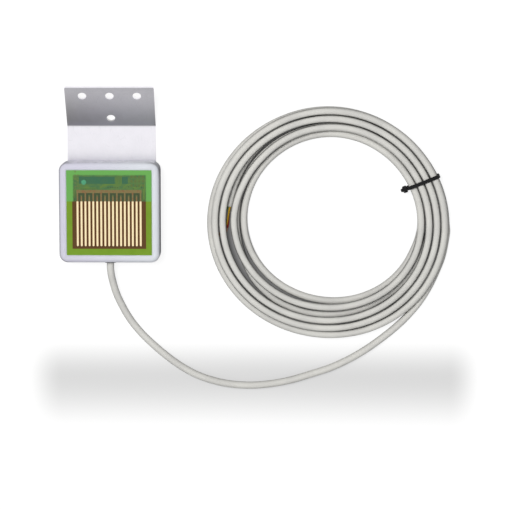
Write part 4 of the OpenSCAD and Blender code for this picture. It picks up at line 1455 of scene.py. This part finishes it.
    def core_line(self, index: int) -> np.ndarray:
        """Centre line of one bared core, from the jacket's end outwards.

        Args:
            index: which core, 0 to 3.

        Returns:
            Points at even distances.
        """
        out = self.heading(self.turns)
        end = self.coil_points(np.array([self.turns]))[0] + self.diameter * out
        side = unit(np.cross(out, (0, 0, 1)))
        hand, level = self._quarter(index)
        start = end + self.core_spread * (side * hand + np.array([0, 0, level]))
        fan = side * hand * self.core_fans[index]
        length = self.core_lengths[index]
        corners = np.array(
            [
                start, start + 2 * out, start + 0.45 * length * out + 0.35 * fan,
                start + 0.8 * length * out + 0.9 * fan, start + length * out + fan,
            ]
        )
        return evenly(smooth_route(corners, 8), 0.8)

    @staticmethod
    def _cut_tube(line: np.ndarray, diameter: float, cut: float, sides: int) -> Shell:
        """A tube whose last ring is drawn in, for a slightly rounded cut end.

        Args:
            line: the centre line.
            diameter: its thickness.
            cut: how far the last ring is drawn in.
            sides: points round it.

        Returns:
            The tube.
        """
        radius = np.full(len(line), diameter / 2)
        radius[-1] -= cut
        return tube(line, radius, sides)

    def jacket(self) -> bpy.types.Object:
        """The jacket as one smooth tube, its cut end slightly rounded.

        Returns:
            The piece.
        """
        shell = self._cut_tube(self.centre_line(), self.diameter, self.jacket_cut, self.sides)
        made = shell.piece("signal_cable", Finish.JACKET, self.smooth_deg)
        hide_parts("cable_lead", "cable_coil")
        return reported(made)

    def cores(self) -> list[bpy.types.Object]:
        """The four insulated cores at the free end, each with a rounded cut.

        Returns:
            The four pieces.
        """
        made = []
        for index, name in enumerate(self.names):
            shell = self._cut_tube(self.core_line(index), self.core_diameter, self.core_cut, self.core_sides)
            piece = shell.piece(f"bared_core_{name}", Finish[name.upper()], self.smooth_deg)
            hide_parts(f"end_core_{name}")
            made.append(reported(piece))
        return made

    def strands(self) -> bpy.types.Object:
        """Seven fine wires in each core's bare end: one in the middle and six that twist round it.

        Returns:
            All the wires as one piece.
        """
        thin = self.strand_diameter / 6
        shells = []
        for index in range(len(self.names)):
            line = self.core_line(index)
            reach = np.linspace(0, self.bare_length, 15)
            middle = line[-1] + reach[:, None] * unit(line[-1] - line[-2])
            side, over = across(middle)
            shells.append(tube(middle, thin, self.wire_sides))
            for wire in range(6):
                angle = (wire / 6 + reach / self.strand_lay) * math.tau
                twist = side * np.cos(angle)[:, None] + over * np.sin(angle)[:, None]
                shells.append(tube(middle + 2 * thin * twist, thin, self.wire_sides))
        made = Shell.joined(shells).piece("copper_strands", Finish.STRANDS, self.smooth_deg)
        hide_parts("bare_strands")
        return reported(made)

    def inner_run(self) -> None:
        """The jacket's end inside the housing and the four cores that run on to the board."""
        straight = np.array([(0, y, self.exit_z) for y in np.linspace(self.exit_y, self.tail_end_y, 12)])
        shell = tube(straight, self.diameter / 2, self.sides)
        jacket = shell.piece("cable_inside", Finish.JACKET, self.smooth_deg)
        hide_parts("cable_tail")
        reported(jacket)
        y, pad_y, pad_z = self.tail_end_y, self.pad_y, self.pad_z
        span = pad_y - y
        for index, name in enumerate(self.names):
            hand, level = self._quarter(index)
            x0, z0 = self.core_spread * hand, self.exit_z + self.core_spread * level
            x1 = (self.pad_order[index] - 1.5) * self.pad_step
            lift = 0 if level > 0 else self.low_cores
            corners = np.array(
                [
                    (x0, y, z0), (x0, y + 2, z0), (x0 + (x1 - x0) * 0.35, y + 0.3 * span, z0 + lift * 0.3),
                    (x0 + (x1 - x0) * 0.75, y + 0.55 * span, z0 + lift * 0.6 + 0.4),
                    (x1, y + 0.75 * span, z0 + lift * 0.6 + 1.2), (x1, pad_y - 3.4, pad_z - 4.4 + lift * 0.4),
                    (x1, pad_y - 1.4, pad_z - 3.2 + lift * 0.3), (x1, pad_y - 0.3, pad_z - 1.9),
                    (x1, pad_y, pad_z - 0.8), (x1, pad_y, pad_z),
                ]
            )
            line = evenly(smooth_route(corners, 6), 0.9)
            shell = tube(line, self.core_diameter / 2, self.core_sides, (1, 0, 0))
            core = shell.piece(f"inside_core_{name}", Finish[name.upper()], self.smooth_deg)
            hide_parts(f"inner_core_{name}")
            reported(core)

    def build(self, tie: bpy.types.Object) -> None:
        """Args:
            tie: the tie, which is not used.
        """
        jacket = self.jacket()
        line = self.centre_line() * MM
        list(self.cores())
        self.strands()
        self.inner_run()


@dataclass
class CableTie:
    """Black tie round the bundle: toothed strap, rounded head with its slot, and the pointed cut end."""

    cable: Cable
    strap_w: float = 2.5
    strap_t: float = 1.0
    strap_r: float = 0.22
    tooth: float = 0.12
    tooth_step: float = 0.45
    overlap: float = 0.1
    gap: float = 0.15
    head_w: float = 4.6
    head_t: float = 3.0
    head_z: float = -1.2
    tail: float = 1.4
    chord_turn_deg: float = 7.5

    def sizes(self) -> Triple:
        """Outer reach, width and height of the bundle where the tie sits.

        Returns:
            The three sizes.
        """
        turn = self.cable.tie_at / 360
        radius = self.cable.coil_radius(np.array([turn, 4 + turn, 5 + turn]))
        outline = float(self.cable.outline(math.radians(self.cable.tie_at)))
        dip = outline * (1 - math.cos(math.radians(self.chord_turn_deg)))
        outer = float(radius[0]) + self.cable.diameter / 2
        inner = float(min(radius[1], radius[2])) - self.cable.diameter / 2 - dip
        return outer, outer - inner, self.cable.layer_step + self.cable.diameter

    def strap(self, width: float, height: float) -> Shell:
        """The strap's rounded section carried round the bundle.

        The loop is a rounded rectangle; the section is a rounded bar across it, thinned on its inner
        side between the teeth by a wave along the loop.

        Args:
            width: the bundle's width.
            height: the bundle's height.

        Returns:
            The closed loop, about its own centre.
        """
        grow = self.gap + self.strap_t / 2
        radius = self.cable.diameter / 2 + grow
        arc, sign = quarter_circles(10)
        half = np.array([width / 2 + grow - radius, height / 2 + grow - radius])
        loop = sign * half + radius * arc
        loop = np.c_[np.concatenate([loop, loop[:1]]), np.zeros(len(loop) + 1)]
        loop = evenly(loop, self.tooth_step)[:-1, :2]
        ahead = unit(np.roll(loop, -1, axis=0) - np.roll(loop, 1, axis=0))
        a, b, r = self.strap_w / 2, self.strap_t / 2, self.strap_r
        left = [(-a + r, -b), (-a, -b + r), (-a, b - r), (-a + r, b)]
        section = np.array(left + [(-x, y) for x, y in reversed(left)])
        tooth = self.tooth * (1 + np.cos(np.arange(len(loop)) * np.pi))[:, None]
        depth = section[:, 1] + np.where(section[:, 1] < 0, tooth, 0.0)
        x, z = loop[:, :1] + ahead[:, 1:] * depth, loop[:, 1:] - ahead[:, :1] * depth
        return Shell.lofted(rings_of(x, section[:, 0], z), closed=True)

    def head(self, width: float) -> Shell:
        """The head: nested rounded rectangles along X, over the body, across the rim and into the slot.

        Args:
            width: the bundle's width.

        Returns:
            The head, in the same place as the loop.
        """
        near = -width / 2 - self.gap - self.strap_t + self.overlap
        far = near - self.head_t - self.overlap
        half = self.head_w / 2
        slot_y, slot_z = self.strap_w / 2 + self.gap, self.strap_t / 2 + self.gap
        stations = np.array(
            [
                (near, half - 0.5, half - 0.5, 0.5), (near - 0.25, half, half, 0.7),
                (far + 0.7, half, half, 0.9), (far + 0.2, half - 0.25, half - 0.25, 0.9),
                (far, half - 0.6, half - 0.6, 0.7), (far, slot_y + 0.15, slot_z + 0.15, 0.25),
                (far + 0.25, slot_y, slot_z, 0.15), (far + 0.9, slot_y, slot_z, 0.15),
            ]
        )
        arc, sign = quarter_circles(5)
        x, half_y, half_z, radius = (column[:, None] for column in stations.T)
        y = sign[:, 0] * (half_y - radius) + radius * arc[:, 0]
        z = self.head_z + half + sign[:, 1] * (half_z - radius) + radius * arc[:, 1]
        return Shell.lofted(rings_of(x, y, z))

    def cut_end(self, width: float) -> Shell:
        """The strap's end beyond the head: sections that narrow to a snipped point, with fine teeth.

        Args:
            width: the bundle's width.

        Returns:
            The end, in the same place as the loop.
        """
        far = -width / 2 - self.gap - self.strap_t - self.head_t
        count = 15
        x = np.linspace(far + 0.85, far - self.tail, count)[:, None]
        share = np.linspace(0, 1, count)[:, None]
        half = self.strap_w / 2 * (1 - 0.3 * np.clip((share - 0.6) / 0.4, 0, 1))
        thick = self.strap_t / 2 - 0.08 * (1 + np.cos(np.arange(count) * np.pi))[:, None]
        middle = self.head_z + self.head_w / 2
        under = [(-1, -0.5), (-0.85, -1), (0.85, -1), (1, -0.5)]
        corner = np.array(under + [(y, -z) for y, z in reversed(under)])
        low = np.where(corner[:, 1] < 0, thick, self.strap_t / 2)
        return Shell.lofted(rings_of(x, half * corner[:, 0], middle + low * corner[:, 1]))

    def build(self) -> bpy.types.Object:
        """Make the tie in place.

        Returns:
            The piece.
        """
        outer, width, height = self.sizes()
        angle = math.radians(self.cable.tie_at)
        cos, sin = math.cos(angle), math.sin(angle)
        turn = np.array([[cos, -sin, 0], [sin, cos, 0], [0, 0, 1]])
        reach = outer - width / 2
        x, y = self.cable.centre[0] + reach * cos, self.cable.centre[1] + reach * sin
        place = (x, y, self.cable.tie_lift + height / 2)
        whole = Shell.joined([self.strap(width, height), self.head(width), self.cut_end(width)])
        made = whole.turned(turn, place).piece("cable_tie_strap", Finish.NYLON, 40)
        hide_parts("cable_tie")
        return reported(made)


# Housing


@dataclass
class Housing:
    """Square frame with rounded edges, its corner bosses, the sealant bead and the rear cover."""

    width: float = 69.0
    rear_z: float = 1.5
    front_z: float = 19.5
    corner_r: float = 6.0
    least_r: float = 0.5
    edge_r: float = 3.0
    lip_r: float = 0.45
    wall: float = 3.0
    rebate_wall: float = 1.3
    wall_z: float = 15.5
    ledge_z: float = 4.3
    board_back_z: float = 17.4
    board_top_z: float = 19.0
    window: float = 59.0
    opening: float = 55.0
    bead: float = 0.3
    screw_at: float = 28.0
    boss_r: float = 3.8
    boss_foot_r: float = 2.8
    hole_r: float = 1.55
    cable_z: float = 9.5
    cable_hole_r: float = 3.65

    def profile(self) -> np.ndarray:
        """The frame's section: inset, height and corner radius of each point, once round.

        It climbs the outer wall, rounds the front edge by a quarter circle, crosses the face, drops into
        the window, steps over the board's ledge, and comes back down the inside to the cover's rebate.

        Returns:
            A row for each point.
        """
        half = self.width / 2
        arc = np.linspace(np.pi, np.pi / 2, 11)
        edge = np.c_[self.edge_r * (1 + np.cos(arc)), self.front_z - self.edge_r + self.edge_r * np.sin(arc)]
        window_in, opening_in = half - self.window / 2, half - self.opening / 2
        lip, r = np.linspace(0, np.pi / 2, 5), self.lip_r
        rim = np.c_[window_in - r + r * np.sin(lip), self.front_z - r + r * np.cos(lip)]
        outer = np.concatenate([[[0.3, self.rear_z], [0.0, self.rear_z + 0.3], [0.0, 8.0]], edge, rim])
        ledge = [(window_in, self.board_back_z), (opening_in, self.board_back_z), (opening_in, self.wall_z)]
        inside = [
            (self.wall, self.wall_z), (self.wall, self.ledge_z),
            (self.rebate_wall, self.ledge_z), (self.rebate_wall, self.rear_z),
        ]
        inner = [(inset, z, self.least_r) for inset, z in ledge]
        inner += [(inset, z, self.corner_r - inset) for inset, z in inside]
        return np.concatenate([np.c_[outer, np.maximum(self.corner_r - outer[:, 0], self.least_r)], inner])

    def boss(self, x: float, y: float) -> Shell:
        """A screw boss: its stepped section turned about its axis.

        Args:
            x: the screw's place along X.
            y: the same along Y.

        Returns:
            The closed boss, open down its middle.
        """
        hole, foot, wide = self.hole_r, self.boss_foot_r, self.boss_r
        radius = np.array([hole, foot, foot, wide, wide, hole])
        shoulder, top = self.ledge_z + 0.02, self.wall_z + 0.2
        height = np.array([shoulder - 0.8, shoulder - 0.8, shoulder, shoulder, top, top])
        cos, sin = (part[:, None] for part in circle(32))
        return Shell.lofted(rings_of(x + radius * cos, y + radius * sin, height), closed=True)

    def bored(self, piece: bpy.types.Object) -> None:
        """Cut the cable's hole through the lower wall.

        Args:
            piece: the frame, whose mesh is replaced by the cut one.
        """
        cos, sin = circle(48)
        ends = np.array([[-self.width / 2 - 2], [-self.width / 2 + self.wall + 2]])
        rings = rings_of(self.cable_hole_r * cos, ends, self.cable_z + self.cable_hole_r * sin)
        drill = Shell.lofted(rings).piece("drill", Finish.HOUSING)
        cut = piece.modifiers.new("cable_hole", "BOOLEAN")
        cut.operation = "DIFFERENCE"
        cut.solver = "EXACT"
        cut.object = drill
        graph = bpy.context.evaluated_depsgraph_get()
        bored = bpy.data.meshes.new_from_object(piece.evaluated_get(graph))
        piece.modifiers.clear()
        piece.data = bored
        piece.data.set_sharp_from_angle(angle=math.radians(30))
        bpy.data.objects.remove(drill)

    def build(self) -> None:
        """Make the frame, the bead and the cover."""
        half = self.width / 2
        made = framed(self.profile(), half).piece("housing_shell", Finish.HOUSING, 30)
        self.bored(made)
        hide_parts("housing_frame")
        reported(made)
        at = self.screw_at
        bosses = Shell.joined(self.boss(x, y) for x, y in ((at, at), (-at, at), (-at, -at), (at, -at)))
        reported(bosses.piece("housing_bosses", Finish.HOUSING, 30))

        across_bead = np.array([0, 0, 8, 15, 22, 30, 30]) / 30 * self.bead
        crown = np.array([-1.6, -0.1, 0.06, 0.1, 0.06, -0.1, -1.6])
        bead = np.c_[half - self.window / 2 + across_bead, self.board_top_z + crown, np.full(7, 0.4)]
        sealant = framed(bead, half).piece("sealant_bead", Finish.SEALANT, 50)
        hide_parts("board_sealant")
        reported(sealant)

        reported(softened("back_cover", "rear_cover", Finish.COVER, 0.25))
        reported(softened("cover_screws", "cover_screw_set", Finish.SCREW, 0.08))
        reported(softened("cable_grommet", "grommet", Finish.RUBBER, 0.2))


# Bracket


@dataclass
class Bracket:
    """The bent mounting sheet with its four fixing holes, and the screws that hold it."""

    edge_round: float = 0.25

    def build(self) -> None:
        """Make the sheet with eased edges and its screws."""
        reported(softened("bracket", "mounting_sheet", Finish.BRACKET, self.edge_round))
        reported(softened("bracket_screws", "bracket_screw_set", Finish.SCREW, 0.08))


# Board


@dataclass
class SensingBoard:
    """The board's face: comb, heated field, mask, and the fine traces in the strip above the bus bar."""

    film_z: float = 19.05
    trace_t: float = 0.035
    wearing: dict[str, Finish] = field(
        default_factory=lambda: {
            "sensor_board": Finish.LAMINATE,
            "solder_mask": Finish.MASK,
            "heater_layer": Finish.HEATER,
            "comb_signal": Finish.COMB,
            "comb_return": Finish.COMB,
            "plated_vias": Finish.DOTS,
            "control_pads": Finish.PADS,
        }
    )

    def traces(self) -> None:
        """Thin conductors under the mask: level runs with slanted ends, upright ones, and hooks."""
        runs: list[tuple[Sequence[Pair], float]] = [
            (((-6.2, 17.0), (-3.6, 19.2), (8.4, 19.2)), 0.7),
            (((9.4, 16.6), (12.2, 19.3), (15.6, 19.3)), 0.6),
            (((-19.8, 17.0), (-9.4, 17.0)), 0.5),
            (((16.2, 17.2), (20.5, 17.2), (22.8, 19.6)), 0.5),
            (((-23.9, 10.0), (-23.9, 15.4), (-22.6, 16.6)), 0.45),
            (((23.6, 9.0), (23.6, 16.5)), 0.45),
            (((24.4, 9.0), (24.4, 20.5)), 0.4),
        ]
        runs += [(((x, 19.9), (x, 25.4)), 0.45) for x in (5.0, 5.9, 6.8, 7.7, 8.5)]
        shells = [flat_strip(points, width, self.film_z, self.trace_t) for points, width in runs]
        reported(Shell.joined(shells).piece("board_traces", Finish.TRACES, 30))

    def dots(self) -> None:
        """Test dots and drilled holes: one large round pad, a row of small holes and two dotted rows; the
        holes are flat dark discs of painted shade.
        """
        large = disc(-17.2, 21.0, 1.7, self.film_z + 0.1, 0.03, 32)
        reported(large.piece("round_pad", Finish.TEAL_DOT, 50))
        z = self.film_z
        rows = [disc(-19.0 + 1.55 * i, 16.4, 0.28, z, 0.05, 12) for i in range(8)]
        rows += [disc(-0.6 + 1.6 * i, 17.3, 0.34, z, 0.05, 12) for i in range(5)]
        loose = ((16.6, 16.6), (18.9, 17.9), (22.4, 17.3), (13.4, 17.8))
        rows += [disc(x, y, 0.3, z, 0.05, 12) for x, y in loose]
        reported(Shell.joined(rows).piece("drilled_dots", Finish.DARK_DOTS, 50))
        rings = [disc(-21.2 + 1.7 * (i % 2), 18.2 + 1.9 * i, 0.5, z, 0.06, 14) for i in range(5)]
        reported(Shell.joined(rings).piece("plated_dots_left", Finish.DOTS, 50))

    def build(self) -> None:
        """Dress the CAD layers and add the fine work."""
        dressed(self.wearing)
        self.traces()
        self.dots()


# Inside


@dataclass
class Electronics:
    """What the housing holds: parts on the board's rear, the relay, the clamp and the seals."""

    wearing: dict[str, Finish] = field(
        default_factory=lambda: {
            "cover_gasket": Finish.RUBBER,
            "bracket_inserts": Finish.INSERT,
            "microcontroller": Finish.CHIP,
            "microcontroller_leads": Finish.TINNED,
            "voltage_regulator": Finish.CHIP,
            "heater_transistor": Finish.CHIP,
            "bulk_capacitor": Finish.CAN,
            "capacitor_base": Finish.CHIP,
            "rectifier_diodes": Finish.CHIP,
            "chip_resistors": Finish.CHIP,
            "ceramic_capacitors": Finish.CERAMIC,
            "solder_joints": Finish.SOLDER,
            "relay_base": Finish.RELAY_BASE,
            "relay_terminals": Finish.TINNED,
            "relay_yoke": Finish.IRON,
            "relay_core": Finish.IRON,
            "relay_bobbin": Finish.BOBBIN,
            "relay_winding": Finish.WINDING,
            "relay_armature": Finish.IRON,
            "relay_moving_contact": Finish.BRONZE,
            "relay_open_contact": Finish.BRONZE,
            "relay_rest_contact": Finish.BRONZE,
            "relay_cap": Finish.RELAY_CAP,
            "cable_clamp": Finish.RELAY_BASE,
            "clamp_screws": Finish.SCREW,
        }
    )

    def build(self) -> None:
        """Dress each inner node."""
        dressed(self.wearing)


def corners(box: Sequence[Sequence[float]]) -> list[list[float]]:
    """A box's two corners as plain numbers."""
    return [[round(float(number), 6) for number in corner] for corner in box]


def main() -> None:
    """Build the studio and the object, piece by piece."""
    logging.basicConfig(level=logging.INFO, format="%(name)s: %(message)s")
    bpy.context.scene.view_settings.view_transform = "Standard"
    cad_box = corners(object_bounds())
    studio = Studio()
    studio.camera()
    cable = Cable()
    cable.build(CableTie(cable).build())
    studio.build()
    Housing().build()
    Bracket().build()
    SensingBoard().build()
    Electronics().build()
    {"cad": cad_box, "visual": corners(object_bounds())}


if __name__ == "__main__":
    main()
